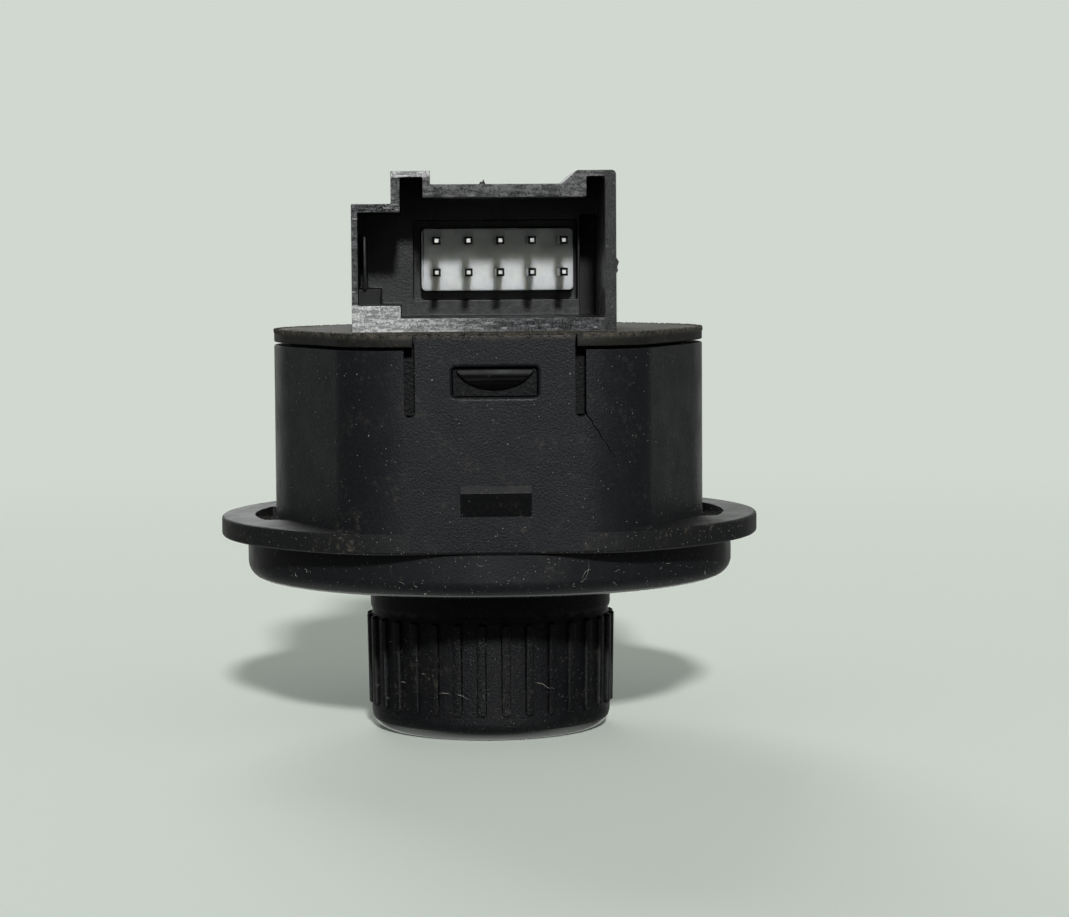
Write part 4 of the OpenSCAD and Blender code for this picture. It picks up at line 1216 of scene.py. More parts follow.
@dataclass
class RearCover:
    """Cover plate with the connector shroud moulded on it and a catch nose in each window."""

    outline: KeyedOutline
    window: Point2
    window_half: float
    plate: Point2 = (14.3, 15.3)
    notch_half: float = 6.295
    notch_depth: float = 1.75
    left: float = -11.0
    right: float = 9.76
    front: float = -14.0
    back: float = 9.2
    shoulder: float = 25.35
    roof: float = 26.85
    tower: float = 27.9
    tower_corner: float = 0.35
    left_tower: Point2 = (-7.89, -4.8)
    # Where the right tower's level top starts, and where its slope meets the roof
    right_tower: Point2 = (6.7, 5.52)
    sunk: float = 0.3
    floor: float = 16.4
    ledge: float = 17.4
    socket_back: float = -4.0
    side_room_right: float = -6.96
    main_room_left: float = -7.16
    left_wall: float = 0.5
    right_wall: float = 0.9
    left_tower_walls: Point2 = (0.72, 0.62)
    right_tower_wall: float = 0.75
    shoulder_t: float = 0.7
    roof_t: float = 1.05
    tower_t: float = 0.5
    groove_depth: float = 3.2
    groove_below: float = 0.8
    # Left of the white block, below it, right of it and above it
    recess_gaps: tuple[float, float, float, float] = (0.65, 0.76, 0.35, 0.7)
    recess_depth: float = 1.6
    bay_gap: float = 0.04
    bay_depth: float = 2.5
    # The step's right side and its top
    step: Point2 = (-8.75, 18.7)
    ridge_x: Point2 = (-10.1, -9.88)
    ridge_z: Point2 = (18.6, 22.8)
    nose_half: float = 2.95
    nose_height: float = 1.6
    nose_edge: float = 0.15
    nose_drop: float = 0.18
    crown_r: float = 1.8
    # How far the middle of the nose's curved face lies behind the wall's face and below the nose's top
    crown: Point2 = (1.88, 0.57)
    # How far inside the barrel's outline the skirt's outer and inner face run
    skirt_walls: Point2 = (1.7, 2.8)
    skirt_low: float = 12.2
    deep_half: float = 8.4
    deep_low: float = 9.0

    def notches(self) -> list[Solid]:
        """Makes the tools that cut the plate's notches for the tongues.

        Returns:
            The tool solids.
        """
        low, high = 10.0, 20.0
        front = Solid.block("notch", (-self.notch_half, -FAR, low),
                            (self.notch_half, -self.outline.front + self.notch_depth, high))
        ring = arc((0.0, 0.0), self.outline.radius - self.notch_depth, 50.0, 130.0, 3.0)
        back = [(self.notch_half, FAR), (-self.notch_half, FAR)]
        back += [p for p in reversed(ring) if abs(p[0]) < self.notch_half]
        return [front, Solid.prism("notch_back", back, low, high)]

    def shroud_outline(self) -> list[Point2]:
        """Gives the front view of the shroud.

        Returns:
            Counterclockwise points.
        """
        low, corner = self.plate[1] - self.sunk, self.tower_corner
        line = [(self.left, low), (self.right, low)]
        line += arc((self.right - corner, self.tower - corner), corner, 0.0, 90.0, 15.0)
        return line + [
            (self.right_tower[0], self.tower), (self.right_tower[1], self.roof),
            (self.left_tower[1], self.roof), (self.left_tower[1], self.tower),
            (self.left_tower[0], self.tower), (self.left_tower[0], self.shoulder),
            (self.left, self.shoulder)]

    def shroud(self) -> Solid:
        """Makes the shroud as a full block: its front half and the plainer half behind it.

        Returns:
            The block.
        """
        front = Solid.prism("shroud", self.shroud_outline(), self.front, -3.0, "Y")
        rear = oblong(self.left, self.plate[1] - self.sunk, self.right, self.shoulder)
        return front.work([Solid.prism("rear", rear, -3.2, self.back, "Y")], Cut.ADD)

    def hollow(self, header: "PinHeader") -> list[Solid]:
        """Makes the tools that hollow the socket out.

        Args:
            header: The white block that the socket holds.

        Returns:
            The tool solids.
        """
        front, back = self.front - 1.0, self.socket_back
        right, top = self.right - self.right_wall, self.tower - self.tower_t
        key = self.right_tower[0] + self.right_tower_wall
        rooms = [
            (self.left + self.left_wall, self.ledge, self.side_room_right, self.shoulder - self.shoulder_t),
            (self.main_room_left, self.floor, right, self.roof - self.roof_t),
            (self.left_tower[0] + self.left_tower_walls[0], self.floor + 4.0,
             self.left_tower[1] - self.left_tower_walls[1], top),
            (key, self.floor, right, top),
        ]
        tools = [Solid.prism("room", oblong(*room), front, back, "Y") for room in rooms]
        groove = oblong(key, self.floor, right, self.shoulder - self.groove_below)
        tools.append(Solid.prism("groove", groove, front, back + self.groove_depth, "Y"))
        x0, z0, x1, z1 = header.sides()
        left, below, beside, over = self.recess_gaps
        recess = oblong(x0 - left, z0 - below, x1 + beside, z1 + over)
        tools.append(Solid.prism("recess", recess, back - 1.0, back + self.recess_depth, "Y"))
        bay = oblong(x0 - self.bay_gap, z0 - self.bay_gap, x1 + self.bay_gap, z1 + self.bay_gap)
        tools.append(Solid.prism("bay", bay, back - 1.0, back + self.bay_depth, "Y"))
        return tools

    def socket_steps(self) -> list[Solid]:
        """Makes the step and the ridge in the socket's left side room.

        Returns:
            Both solids.
        """
        back = self.socket_back + 0.1
        return [Solid.block("step", (self.left + 0.4, self.front + 1.6, self.ledge - 0.2),
                            (self.step[0], back, self.step[1])),
                Solid.block("ridge", (self.ridge_x[0], self.front + 1.2, self.ridge_z[0]),
                            (self.ridge_x[1], back, self.ridge_z[1]))]

    def nose(self, wall_y: float) -> list[Solid]:
        """Makes the front catch nose with its leg and pad.

        Args:
            wall_y: Distance from the axis to the outer face of the barrel's wall.

        Returns:
            The nose, its pad and its leg.
        """
        gap, root, leg = 0.05, -wall_y + 2.0, -wall_y + 1.7
        low, high = self.window
        top = high - self.nose_drop
        sag = self.nose_height - self.nose_edge
        radius = (self.nose_half**2 + sag**2) / (2 * sag)
        sweep = math.degrees(math.asin(self.nose_half / radius))
        middle = (0.0, top - self.nose_height + radius)
        shape = arc(middle, radius, 270.0 - sweep, 270.0 + sweep, 3.0)
        shape += [(self.nose_half, top), (-self.nose_half, top)]
        face = arc((-wall_y + self.crown[0], top - self.crown[1]), self.crown_r, 0.0, 360.0, 6.0)[:-1]
        nose = Solid.prism("nose", shape, -wall_y, root, "Y")
        nose.work([Solid.prism("face", face, -5.0, 5.0, "X")], Cut.KEEP)
        half = self.window_half - gap
        pad = oblong(-half, low + gap, half, high - gap)
        stem = oblong(-self.nose_half, low + gap, self.nose_half, self.plate[0] + 0.2)
        return [nose, Solid.prism("pad", pad, -wall_y + 0.55, root, "Y"),
                Solid.prism("leg", stem, leg, leg + 1.1, "Y")]

    def skirt(self) -> list[Solid]:
        """Makes the skirt that reaches into the barrel, deeper behind the front tongue.

        Returns:
            The full ring and the deeper part.
        """
        outer, inner = self.skirt_walls
        below, above = 5.0, 20.0
        made = []
        for low, deep in ((self.skirt_low, False), (self.deep_low, True)):
            ring = Solid.prism("skirt", self.outline.points(outer), low, self.plate[0] + 0.1)
            ring.work([Solid.prism("bore", self.outline.points(inner), below, above)])
            if deep:
                part = oblong(-self.deep_half, -FAR, self.deep_half, -10.0)
                ring.work([Solid.prism("part", part, below, above)], Cut.KEEP)
            made.append(ring)
        return made

    def grit_sheets(self) -> Solid:
        """Makes the thin sheets on the shroud's open edge that carry the grains.

        Returns:
            The sheets.
        """
        y = self.front - 0.005
        strips = [(-10.9, 15.5, -7.2, 17.3), (-7.2, 15.5, 9.6, 16.3), (-4.7, 25.9, 6.4, 26.75),
                  (-7.8, 27.45, -4.9, 27.8), (-7.8, 24.75, -7.25, 27.4), (-10.9, 24.75, -7.9, 25.25)]
        points: list[Point3] = []
        faces: list[list[int]] = []
        for x0, z0, x1, z1 in strips:
            n = len(points)
            points += [(x0, y, z0), (x1, y, z0), (x1, y, z1), (x0, y, z1)]
            faces.append([n, n + 1, n + 2, n + 3])
        return Solid("shroud_grit", points, faces)

    def build(self, grains: GrainPattern, header: "PinHeader") -> None:
        """Makes the cover, its grains and its burrs.

        Args:
            grains: The tree that scatters grains.
            header: The white block that the socket holds.
        """
        plate = Solid.prism("cover_plate", self.outline.points(), *self.plate)
        plate.work(self.notches())
        back_nose = [part.half_turn() for part in self.nose(self.outline.back_wall(self.nose_half))]
        plate.work(self.skirt() + [self.shroud()] + self.nose(self.outline.front) + back_nose, Cut.ADD)
        plate.work(self.hollow(header))
        plate.work(self.socket_steps(), Cut.ADD)
        plate.soften(0.09).smooth()
        plate.dress(COVER, Body.HOUSING, "cover_plastic", ["rear_cover"])
        self.paint(plate)
        self.shroud_burrs()
        grit = self.grit_sheets()
        grains.run(grit.obj, Density=5.5e7, Smallest=0.00003, Largest=0.00011, Flatness=0.45, Seed=7,
                   Material=GRIT.material())
        settle(grit.obj, Body.HOUSING)
        self.plate_burr(grains)

    def shroud_burrs(self) -> None:
        """Adds the two torn burrs on the shroud's open edge, one on the roof and one on the right side."""
        roof, side = self.roof, self.right
        shapes = [[(-1.02, roof - 0.1), (-0.42, roof - 0.1), (-0.55, roof + 0.16), (-0.64, roof + 0.36),
                   (-0.74, roof + 0.13), (-0.86, roof + 0.2)],
                  [(side - 0.1, 19.7), (side + 0.12, 20.0), (side + 0.06, 20.3), (side + 0.2, 20.7),
                   (side - 0.1, 21.2)]]
        for number, shape in enumerate(shapes, 1):
            burr = Solid.prism(f"shroud_burr_{number}", shape, self.front + 0.03, self.front + 0.4, "Y")
            burr.dress(SHROUD, Body.HOUSING, "cover_plastic")

    def paint(self, cover: Solid) -> None:
        """Gives the shroud, its cut edge, the skirt and the noses their own finishes; paints shade on the
        step block, fill light on the groove's back and reflection streaks on the right wall's inner face.

        Args:
            cover: The finished cover.
        """
        low, high = self.plate
        cover.recolour(SHROUD, lambda c, n: c.z > high + 0.15)
        cover.recolour(GRIT, lambda c, n: c.z > high + 0.05 and c.y < self.front + 0.02)
        # Painted fill light on the groove's back
        cover.recolour(GROOVE_FILL, lambda c, n: n.y < -0.9 and c.x > self.right_tower[0] and c.z > high
                       and c.y > self.socket_back + 1.0)
        # Painted shade on the step block
        cover.recolour(STEP_SHADE, lambda c, n: self.front + 1.0 < c.y < -8.0 and c.x < -8.7
                       and self.ledge < c.z < 18.9)
        # Painted reflection streaks on the right wall's inner face
        cover.recolour(WALL_REFLECTION, lambda c, n: n.x < -0.9 and c.x > 8.0 and self.front < c.y < self.socket_back)
        cover.recolour(SKIRT, lambda c, n: c.z < low - 0.1)
        nose_y = (-self.outline.front + 0.54, self.outline.back_wall(self.nose_half) - 0.54)
        cover.recolour(NOSE, lambda c, n: c.z < low - 0.1 and not nose_y[0] <= c.y <= nose_y[1])

    def plate_burr(self, grains: GrainPattern) -> None:
        """Adds the rough, dusty burr along the plate's upper edge, except at the notches.

        Args:
            grains: The tree that scatters grains.
        """
        outer, inner = self.outline.points(0.02), self.outline.points(0.35)
        top = self.plate[1] - 0.01
        points = [(x, y, top - 0.22) for x, y in outer] + [(x, y, top) for x, y in outer]
        points += [(x, y, top) for x, y in inner]
        count = len(outer)
        faces = []
        for row in (0, count):
            for i in range(count):
                j = (i + 1) % count
                if abs(outer[i][0]) >= self.notch_half or abs(outer[j][0]) >= self.notch_half:
                    faces.append([row + i, row + j, row + count + j, row + count + i])
        edge = Solid("plate_burr", points, faces)
        grains.run(edge.obj, Density=4.5e7, Smallest=0.00003, Largest=0.00014, Flatness=0.7, Seed=3,
                   Material=COVER.material())
        settle(edge.obj, Body.HOUSING)


@dataclass
class PinHeader:
    """White block with its two rows of square contact pins.

    A row is given by its height and by how far back its legs go down.
    """

    mid: Point2 = (0.69, 20.95)
    width: float = 12.4
    height: float = 5.05
    y: Point2 = (-4.0, 1.5)
    first_x: float = -4.3
    pitch: float = 2.54
    rows: tuple[tuple[float, float], ...] = ((19.93, 4.7), (22.47, 7.24))
    thick: float = 0.63
    bend: float = 0.6
    # Length of the tip's taper, and how much it takes off each side
    taper: Point2 = (0.35, 0.17)
    corner: float = 0.35
    tip_y: float = -9.8
    foot_z: float = 10.65

    def sides(self) -> tuple[float, float, float, float]:
        """Gives the block's left, lower, right and upper side."""
        half_w, half_h = self.width / 2, self.height / 2
        return (self.mid[0] - half_w, self.mid[1] - half_h, self.mid[0] + half_w, self.mid[1] + half_h)

    def pin(self, name: str, z: float, leg_y: float) -> Solid:
        """Makes one bent pin at the left end of its row.

        Args:
            name: Name of the piece.
            z: Height of the straight part.
            leg_y: Where the leg goes down.

        Returns:
            The pin.
        """
        half, bend = self.thick / 2, self.bend
        spine = [(self.tip_y, z, 0.0, half - self.taper[1]), (self.tip_y + self.taper[0], z, 0.0, half)]
        for degrees in range(0, 91, 15):
            turn = math.radians(degrees)
            y, height = leg_y - bend + bend * math.sin(turn), z - bend + bend * math.cos(turn)
            spine.append((y, height, float(degrees), half))
        spine.append((leg_y, self.foot_z, 90.0, half))
        points: list[Point3] = []
        for y, height, degrees, wide in spine:
            down, level = wide * math.sin(math.radians(degrees)), wide * math.cos(math.radians(degrees))
            for across, up in ((-1, -1), (1, -1), (1, 1), (-1, 1)):
                points.append((self.first_x + across * wide, y + up * down, height + up * level))
        faces: list[list[int]] = [[0, 1, 2, 3]]
        for k in range(len(spine) - 1):
            for i in range(4):
                j = (i + 1) % 4
                faces.append([4 * k + j, 4 * k + i, 4 * k + 4 + i, 4 * k + 4 + j])
        last = 4 * (len(spine) - 1)
        faces.append([last + 3, last + 2, last + 1, last])
        return Solid(name, points, faces)

    def build(self, row: RowPattern) -> None:
        """Makes the block and both rows of pins.

        Args:
            row: The tree that repeats a pin along its row.
        """
        shape = rounded(*self.sides(), self.corner)
        block = Solid.prism("header_block", shape, self.y[0], self.y[1], "Y")
        half = self.thick / 2 + 0.01
        holes = [Solid.prism("hole", oblong(self.first_x + i * self.pitch - half, rz - half,
                                            self.first_x + i * self.pitch + half, rz + half),
                             self.y[0] - 1.0, self.y[1] + 1.0, "Y") for rz, _ in self.rows for i in range(5)]
        block.work(holes)
        block.soften(0.08).smooth()
        block.dress(HEADER, Body.HOUSING, "header_plastic", ["pin_header"])
        for k, (rz, leg) in enumerate(self.rows):
            pin = self.pin(f"contact_pins_row_{k + 1}", rz, leg)
            row.run(pin.obj, Count=5, Pitch=self.pitch * MM, Material=TIN.material())
            # Painted shade on the tapers at the pin tips
            pin.recolour(TIP_SHADE, lambda c, n: self.tip_y + 0.01 < c.y < self.tip_y + 0.34)
            settle(pin.obj, Body.HOUSING, [f"contact_pin_{5 * k + i + 1}" for i in range(5)])


@dataclass
class GripKnob:
    """Turning and tilting knob with raised grip ribs.

    Each pair of sizes is a radius and a height.
    """

    neck: float = 10.0
    neck_round: float = 0.8
    radius: float = 9.95
    rib_top: Point2 = (10.33, -8.3)
    rib_low: Point2 = (10.2, -15.9)
    rib_w: float = 0.8
    ribs: int = 32
    end: float = -17.9
    rim: float = 1.5
    top: float = -3.1
    wall: float = 0.85
    end_t: float = 1.7
    hub: Point2 = (5.2, -7.0)
    bore: Point2 = (3.42, -16.0)

    def rib(self) -> Solid:
        """Makes the rib next to the front, as a domed bar with round ends.

        Returns:
            The rib.
        """
        half = self.rib_w / 2
        sections: list[tuple[float, float]] = []
        for i in range(6):
            sections.append((1 - math.cos(math.radians(i * 18.0)), math.sin(math.radians(i * 18.0))))
        length = self.rib_top[1] - self.rib_low[1]
        stations = [(self.rib_low[1] + half * d, max(0.02, s)) for d, s in sections]
        stations += [(self.rib_top[1] - half * d, max(0.02, s)) for d, s in reversed(sections)]
        inner = self.radius - 0.25
        edges = (-1.0, -0.985, -0.93, -0.8, -0.4, 0.0, 0.4, 0.8, 0.93, 0.985, 1.0)
        width = len(edges)
        points: list[Point3] = []
        for z, share in stations:
            proud = self.rib_low[0] + (self.rib_top[0] - self.rib_low[0]) * (z - self.rib_low[1]) / length
            for t in edges:
                lift = (1 - abs(t) ** 9) ** 0.5 * min(1.0, share * 1.3)
                points.append((t * half * share, -(inner + (proud - inner) * lift), z))
        faces: list[list[int]] = []
        for k in range(len(stations) - 1):
            for i in range(width - 1):
                a = k * width + i
                faces.append([a, a + 1, a + 1 + width, a + width])
            faces.append([k * width, k * width + width, k * width + 2 * width - 1, k * width + width - 1])
        faces.append(list(range(width))[::-1])
        faces.append([(len(stations) - 1) * width + i for i in range(width)])
        return Solid("knob_ribs", points, faces)

    def build(self, turned: RoundPattern) -> list[Solid]:
        """Makes the knob and its ribs.

        Args:
            turned: The tree that repeats a rib round the knob.

        Returns:
            The knob and the ribs.
        """
        edge = arc((self.radius - self.rim, self.end + self.rim), self.rim, 270.0, 360.0, 9.0)
        step, waist, floor = self.rib_top[1], self.neck - self.neck_round, self.end + self.end_t
        inside = waist - self.wall
        profile = [(0.0, self.end)] + edge + [(self.radius, step - 0.2), (self.radius - 0.05, step),
                                              (self.radius - 0.13, step + 0.13)]
        profile += arc((waist, step + self.neck_round), self.neck_round, 322.0, 360.0, 9.0)
        profile += [(self.neck, self.top - 0.15), (self.neck - 0.15, self.top), (inside, self.top),
                    (inside, floor), (self.hub[0], floor), self.hub, (self.bore[0], self.hub[1]), self.bore,
                    (0.0, self.bore[1])]
        body = Solid.turned("knob_body", profile, 256)
        body.smooth()
        body.dress(KNOB, Body.SELECTOR, "knob_plastic", ["knob_cap"])
        body.recolour(RIM, lambda c, n: n.z < -0.45 and c.z < self.end + self.rim)
        rib = self.rib()
        turned.run(rib.obj, Count=self.ribs, First_Turn=math.pi / self.ribs, Material=RIBS.material())
        rib.smooth()
        settle(rib.obj, Body.SELECTOR)
        # Paler corners on the ribs at the sides
        rib.recolour(RIB_EDGE, lambda c, n: 0.35 < (c.x * n.x + c.y * n.y) / math.hypot(c.x, c.y) < 0.88
                     and abs(n.z) < 0.5 and abs(c.x) > 5.5)
        return [body, rib]


@dataclass
class Inside:
    """Pieces inside the barrel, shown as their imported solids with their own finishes."""

    finishes: dict[str, Finish] = field(default_factory=lambda: {
        "circuit_board": LAMINATE, "chip_resistors": CERAMIC, "dome_mat": SILICONE, "gimbal_ring": ACETAL,
        "rocker": ACETAL, "selector_shaft": ACETAL, "retaining_clip": SPRING_STEEL, "detent_ball": BALL_STEEL,
        "detent_spring": SPRING_STEEL, "contact_rotor": ROTOR, "wiper_contact": BRONZE,
    })

    def dress(self) -> None:
        """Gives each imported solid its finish."""
        for name, finish in self.finishes.items():
            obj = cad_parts[name]
            obj.data.materials.clear()
            obj.data.materials.append(finish.material())
            LOG.info("%s: %s", name, finish.name)


@dataclass
class Dirt:
    """Dust specks, stray hairs and packed dirt that lie on the switch."""

    seed: int = 11
    on_bezel: float = 20.12
    on_ribs: float = 10.36
    over_ribs: float = 10.4

    def specks(self, grains: GrainPattern, under: Solid, name: str, density: float, body: Body, slot: str,
               keep: Callable[[Vector, Vector], bool], largest: float = 0.05) -> None:
        """Scatters specks over part of a finished piece.

        Args:
            grains: The tree that scatters grains.
            under: The piece they lie on.
            name: Name of the specks.
            density: How many lie on a square millimetre.
            body: The body they ride on.
            slot: The record's material slot; not used.
            keep: Tells from a face's middle in millimetres and its direction whether it carries specks.
            largest: Radius of the largest speck in millimetres.
        """
        mesh = under.obj.data
        points = [tuple(v.co / MM) for v in mesh.vertices]
        faces = [tuple(f.vertices) for f in mesh.polygons if keep(f.center / MM, f.normal)]
        film = Solid(name, points, faces)
        self.seed += 1
        grains.run(film.obj, Density=density * 1e6, Smallest=0.012 * MM, Largest=largest * MM, Flatness=0.5,
                   Seed=self.seed, Material=DUST.material())
        settle(film.obj, body)

    def hair(self, radius: float, start: Point2, step: Point2, bend: float,
             thick: float = 0.018) -> list[list[Point3]]:
        """Gives the rings of one hair that lies on an upright cylinder.

        Args:
            radius: Radius of the cylinder.
            start: Angle from the front in degrees, and height.
            step: Angle and height that it runs over.
            bend: How much it curls to one side, in millimetres.
            thick: Its radius.

        Returns:
            Its cross sections.
        """
        rings = []
        for k in range(9):
            t = k / 8
            lift = math.sin(math.pi * t)
            turn = math.radians(start[0] + step[0] * t + bend * lift * DEGREES / radius)
            z = start[1] + step[1] * t + 0.4 * bend * math.sin(2 * math.pi * t)
            slim = thick * (0.4 + 0.6 * lift)
            out = radius + 0.02 + 0.05 * lift
            ring = []
            for j in range(4):
                side = math.radians(90.0 * j)
                reach = out + slim * math.cos(side)
                ring.append((reach * math.sin(turn), -reach * math.cos(turn), z + slim * math.sin(side)))
            rings.append(ring)
        return rings

    def lint(self, name: str, hairs: Sequence[list[list[Point3]]], body: Body, slot: str) -> None:
        """Makes one piece of several hairs.

        Args:
            name: Name of the piece.
            hairs: Cross sections of each hair.
            body: The body it rides on.
            slot: The record's material slot.
        """
        points: list[Point3] = []
        faces: list[list[int]] = []
        for rings in hairs:
            base = len(points)
            points += [p for ring in rings for p in ring]
            for k in range(len(rings) - 1):
                for j in range(4):
                    a, b = base + 4 * k + j, base + 4 * k + (j + 1) % 4
                    faces.append([a, b, b + 4, a + 4])
            last = base + 4 * (len(rings) - 1)
            faces += [[base + 3, base + 2, base + 1, base], [last, last + 1, last + 2, last + 3]]
        Solid(name, points, faces).dress(LINT, body, slot)

    def stray(self, count: int, radius: float, low: float, high: float,
              reach: float) -> list[list[list[Point3]]]:
        """Gives short hairs at random places on the front of a cylinder.

        Args:
            count: Number of hairs.
            radius: Radius of the cylinder.
            low: Lowest place.
            high: Highest place.
            reach: Largest angle from the front in degrees.

        Returns:
            The cross sections of each hair.
        """
        chance = random.Random(self.seed + count)
        made = []
        for _ in range(count):
            start = (chance.uniform(-reach, reach), chance.uniform(low, high))
            way = chance.uniform(0.0, math.tau)
            size = chance.uniform(0.25, 0.7)
            step = (math.cos(way) * size * DEGREES / radius, math.sin(way) * size * 0.6)
            bend, thick = chance.uniform(-0.2, 0.2), chance.uniform(0.01, 0.018)
            made.append(self.hair(radius, start, step, bend, thick))
        return made

    def packed(self, grains: GrainPattern, housing: BarrelHousing) -> None:
        """Fills the front ends of the flange's pockets with dirt, which ends in loose grains.

        Args:
            grains: The tree that scatters grains.
            housing: Sizes of the barrel and its pockets.
        """
        for name, side in (("left", -1), ("right", 1)):
            line = housing.pocket_line(side, -21.4, -9.0, 0.01)
            Solid.prism(f"packed_dirt_{name}", line, -0.88, -0.13).dress(DIRT, Body.HOUSING, "barrel_plastic")
            line = housing.pocket_line(side, -21.0, -4.0, 0.15)
            bed = Solid.prism(f"dirt_grains_{name}", line, -0.62, -0.17)
            grains.run(bed.obj, Density=2.0e7, Smallest=0.00006, Largest=0.00017, Flatness=0.7, Seed=5 + side,
                       Material=DIRT.material())
            settle(bed.obj, Body.HOUSING)

    def build(self, grains: GrainPattern, housing: BarrelHousing, barrel: Solid, bezel: Solid,
              knob: Sequence[Solid]) -> None:
        """Lays the dirt down.

        Args:
            grains: The tree that scatters grains.
            housing: Sizes of the barrel and its pockets.
            barrel: The finished barrel.
            bezel: The finished bezel.
            knob: The finished knob and its ribs.
        """
        self.packed(grains, housing)
        self.specks(grains, barrel, "barrel_specks", 0.45, Body.HOUSING, "barrel_plastic",
                    lambda c, n: 0.1 < c.z < 15.0 and c.y * n.y + c.x * n.x > 0.5)
        self.specks(grains, barrel, "flange_specks", 2.4, Body.HOUSING, "barrel_plastic",
                    lambda c, n: -1.6 < c.z < 0.1 and math.hypot(c.x, c.y) > 17.0 and abs(c.x) < 20.5
                    and c.y < 20.0)
        self.specks(grains, bezel, "bezel_specks", 1.6, Body.HOUSING, "bezel_plastic",
                    lambda c, n: c.x * n.x + c.y * n.y > 1.0)
        self.specks(grains, knob[0], "knob_specks", 2.2, Body.SELECTOR, "knob_plastic",
                    lambda c, n: c.z > -17.3 and c.x * n.x + c.y * n.y > 1.0, 0.035)
        self.specks(grains, knob[1], "rib_specks", 3.5, Body.SELECTOR, "knob_plastic",
                    lambda c, n: True, 0.035)
        curl = [self.hair(self.on_bezel, (20.5, -2.1), (-1.6, -1.9), 0.35),
                self.hair(self.on_bezel, (19.3, -3.9), (2.0, 0.9), -0.3)]
        curl += self.stray(16, self.on_bezel, -4.6, -2.0, 60.0)
        self.lint("housing_lint", curl, Body.HOUSING, "bezel_plastic")
        placed = [self.hair(self.over_ribs, (19.0, -13.1), (6.5, -0.5), 0.15),
                  self.hair(self.over_ribs, (-25.0, -13.9), (4.5, 0.05), 0.05)]
        placed += self.stray(12, self.on_ribs, -15.5, -9.5, 70.0)
        self.lint("knob_lint", placed, Body.SELECTOR, "knob_plastic")


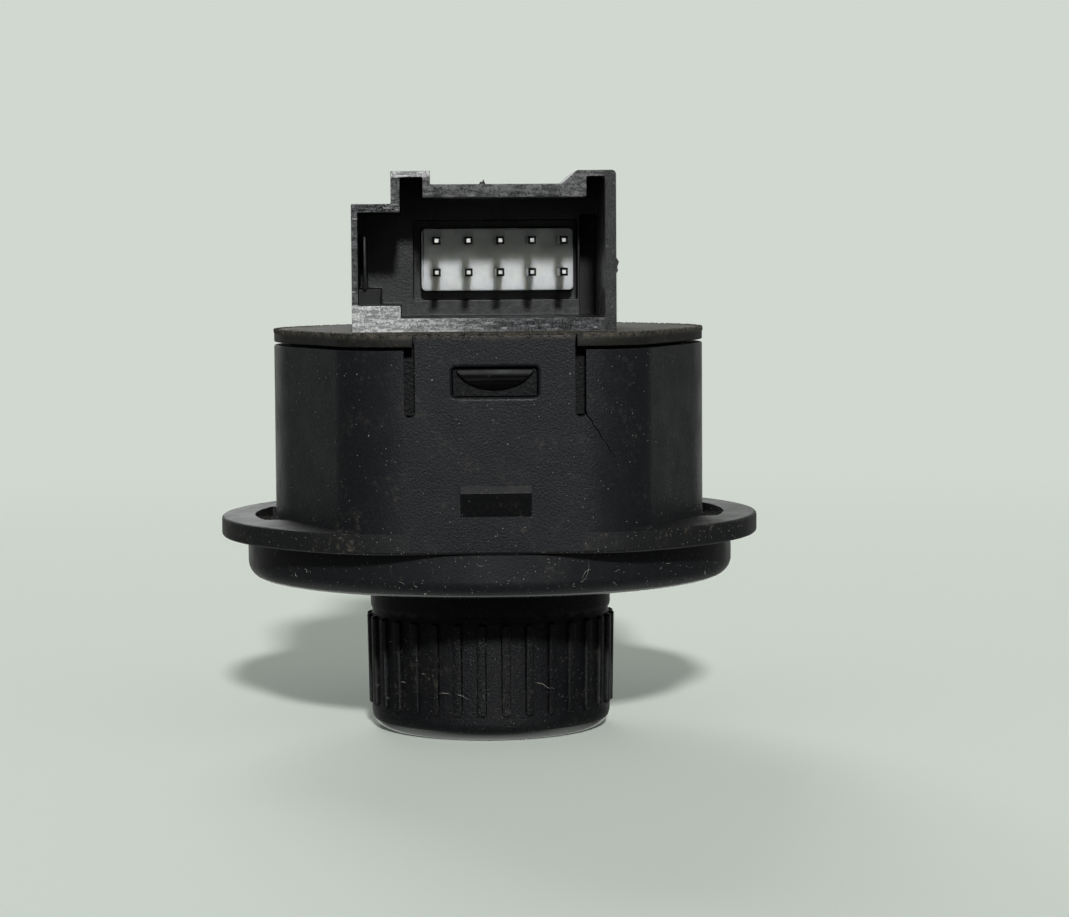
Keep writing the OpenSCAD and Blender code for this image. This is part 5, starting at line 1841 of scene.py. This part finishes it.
@dataclass
class Studio:
    """Floor, backdrop, lights and camera, with the stage's radius in metres."""

    floor_z: float = -17.93
    stage_r_m: float = 3.0
    backdrop: Point3 = (0.638, 0.686, 0.631)
    surround: Point3 = (0.95, 1.0, 0.94)
    eye: Point3 = (-5.97, -242.54, 21.13)
    heading: Point2 = (0.04017, 0.99919)
    pitch: float = 3.958
    roll: float = 0.391
    lens: float = 98.12
    sensor: float = 36.0

    def camera(self) -> None:
        """Puts the camera where the photograph was taken from."""
        down = math.radians(self.pitch)
        ahead = Vector((self.heading[0] * math.cos(down), self.heading[1] * math.cos(down), -math.sin(down)))
        right = ahead.cross(Vector((0.0, 0.0, 1.0))).normalized()
        above = right.cross(ahead)
        lean = math.radians(self.roll)
        across = right * math.cos(lean) - above * math.sin(lean)
        up = above * math.cos(lean) + right * math.sin(lean)
        data = bpy.data.cameras.new("camera")
        data.lens = self.lens
        data.sensor_width = self.sensor
        data.sensor_fit = "HORIZONTAL"
        data.clip_start, data.clip_end = 0.01, 50.0
        cam = bpy.data.objects.new("camera", data)
        bpy.context.scene.collection.objects.link(cam)
        turn = Matrix((across, up, -ahead)).transposed()
        cam.matrix_world = Matrix.Translation(Vector(self.eye) * MM) @ turn.to_4x4()
        bpy.context.scene.camera = cam

    def surroundings(self) -> None:
        """Lights the scene from all round: pale behind and below the switch and darker in front of it."""
        world = bpy.data.worlds.new("surroundings")
        bpy.context.scene.world = world
        world.use_nodes = True
        world.node_tree.nodes.clear()
        book = ShaderBook(world.node_tree)
        toward = book.add("ShaderNodeTexCoord").outputs["Generated"]
        depth, height = book.axis(toward, "Y"), book.axis(toward, "Z")
        near = book.span(depth, 0.0, 0.45, 0.075, 0.11)
        far = book.span(depth, 0.8, 1.0, 0.0, 1.1, smooth=False)
        above = book.span(height, -0.35, 0.35, 0.0, 0.22)
        ahead = book.span(depth, 0.0, -0.4, smooth=False)
        under = book.span(height, -0.4, -0.8, 0.0, 0.6)
        behind = book.span(depth, -0.2, 0.15, smooth=False)
        sky, floor = book.math("MULTIPLY", above, ahead), book.math("MULTIPLY", under, behind)
        level = book.math("ADD", book.math("ADD", book.math("ADD", near, far), sky), floor)
        glow = book.add("ShaderNodeBackground", {"Color": rgba(self.surround), "Strength": level})
        output = book.add("ShaderNodeOutputWorld")
        book.link(glow.outputs[0], output.inputs["Surface"])

    def lamp(self, name: str, energy: float, spread: float, source: Point3) -> None:
        """Adds a distant lamp.

        Args:
            name: Its name.
            energy: Its strength.
            spread: How wide it looks, in degrees.
            source: Where it shines from.
        """
        data = bpy.data.lights.new(name, "SUN")
        data.energy = energy
        data.angle = math.radians(spread)
        data.color = (0.99, 1.0, 1.0)
        lamp = bpy.data.objects.new(name, data)
        bpy.context.scene.collection.objects.link(lamp)
        lamp.rotation_mode = "QUATERNION"
        lamp.rotation_quaternion = Vector(source).to_track_quat("Z", "Y")

    def paper(self) -> bpy.types.Material:
        """Makes the pale floor paper, which takes soft shadows near the switch.

        Returns:
            The material.
        """
        made, book = blank_material("pale_paper")
        length = book.add("ShaderNodeVectorMath", {0: book.position()}, operation="LENGTH").outputs["Value"]
        far = book.span(length, 0.1, 0.32)
        glow = book.add("ShaderNodeEmission", {"Color": rgba(self.backdrop), "Strength": 1.0})
        dim = book.add("ShaderNodeEmission", {"Color": rgba(self.backdrop), "Strength": 0.04})
        matt = book.add("ShaderNodeBsdfDiffuse", {"Color": (0.85, 0.91, 0.84, 1.0)})
        near = book.add("ShaderNodeAddShader", {0: dim.outputs[0], 1: matt.outputs[0]})
        mixed = book.add("ShaderNodeMixShader", {0: far, 1: near.outputs[0], 2: glow.outputs[0]})
        book.end(mixed.outputs[0])
        return made

    def stage(self) -> None:
        """Makes the floor and the round backdrop, which only the camera sees."""
        bpy.ops.mesh.primitive_circle_add(vertices=96, radius=self.stage_r_m, fill_type="NGON",
                                          location=(0, 0, self.floor_z * MM))
        floor = bpy.context.object
        floor.name = "floor"
        floor.data.materials.append(self.paper())
        bpy.ops.mesh.primitive_uv_sphere_add(segments=64, ring_count=32, radius=self.stage_r_m)
        dome = bpy.context.object
        dome.name = "backdrop"
        made, book = blank_material("pale_backdrop")
        glow = book.add("ShaderNodeEmission", {"Color": rgba(self.backdrop), "Strength": 1.0})
        book.end(glow.outputs[0])
        dome.data.materials.append(made)
        for thing in (floor, dome):
            thing.visible_diffuse = False
            thing.visible_glossy = False
            thing.visible_transmission = False
            thing.visible_shadow = False

    def build(self) -> None:
        """Sets the whole studio up."""
        bpy.context.scene.view_settings.view_transform = "Standard"
        self.camera()
        self.surroundings()
        self.lamp("main_light", energy=2.5, spread=4.5, source=(0.04, -0.885, 0.455))
        self.lamp("rear_fill", energy=0.8, spread=25.0, source=(-0.15, 0.85, 0.5))
        self.stage()


def main() -> None:
    """Builds the switch piece by piece and sets the studio up."""
    logging.basicConfig(level=logging.INFO, format="%(name)s %(message)s")
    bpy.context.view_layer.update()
    Studio().build()
    turned, row, grains = RoundPattern(), RowPattern(), GrainPattern()
    header = PinHeader()
    housing = BarrelHousing()
    barrel = housing.build()
    bezel = FrontBezel(top=-housing.flange_t).build()
    RearCover(housing.outline, housing.window, housing.window_half).build(grains, header)
    header.build(row)
    knob = GripKnob().build(turned)
    Inside().dress()
    Dirt().build(grains, housing, barrel, bezel, knob)


if __name__ == "__main__":
    main()
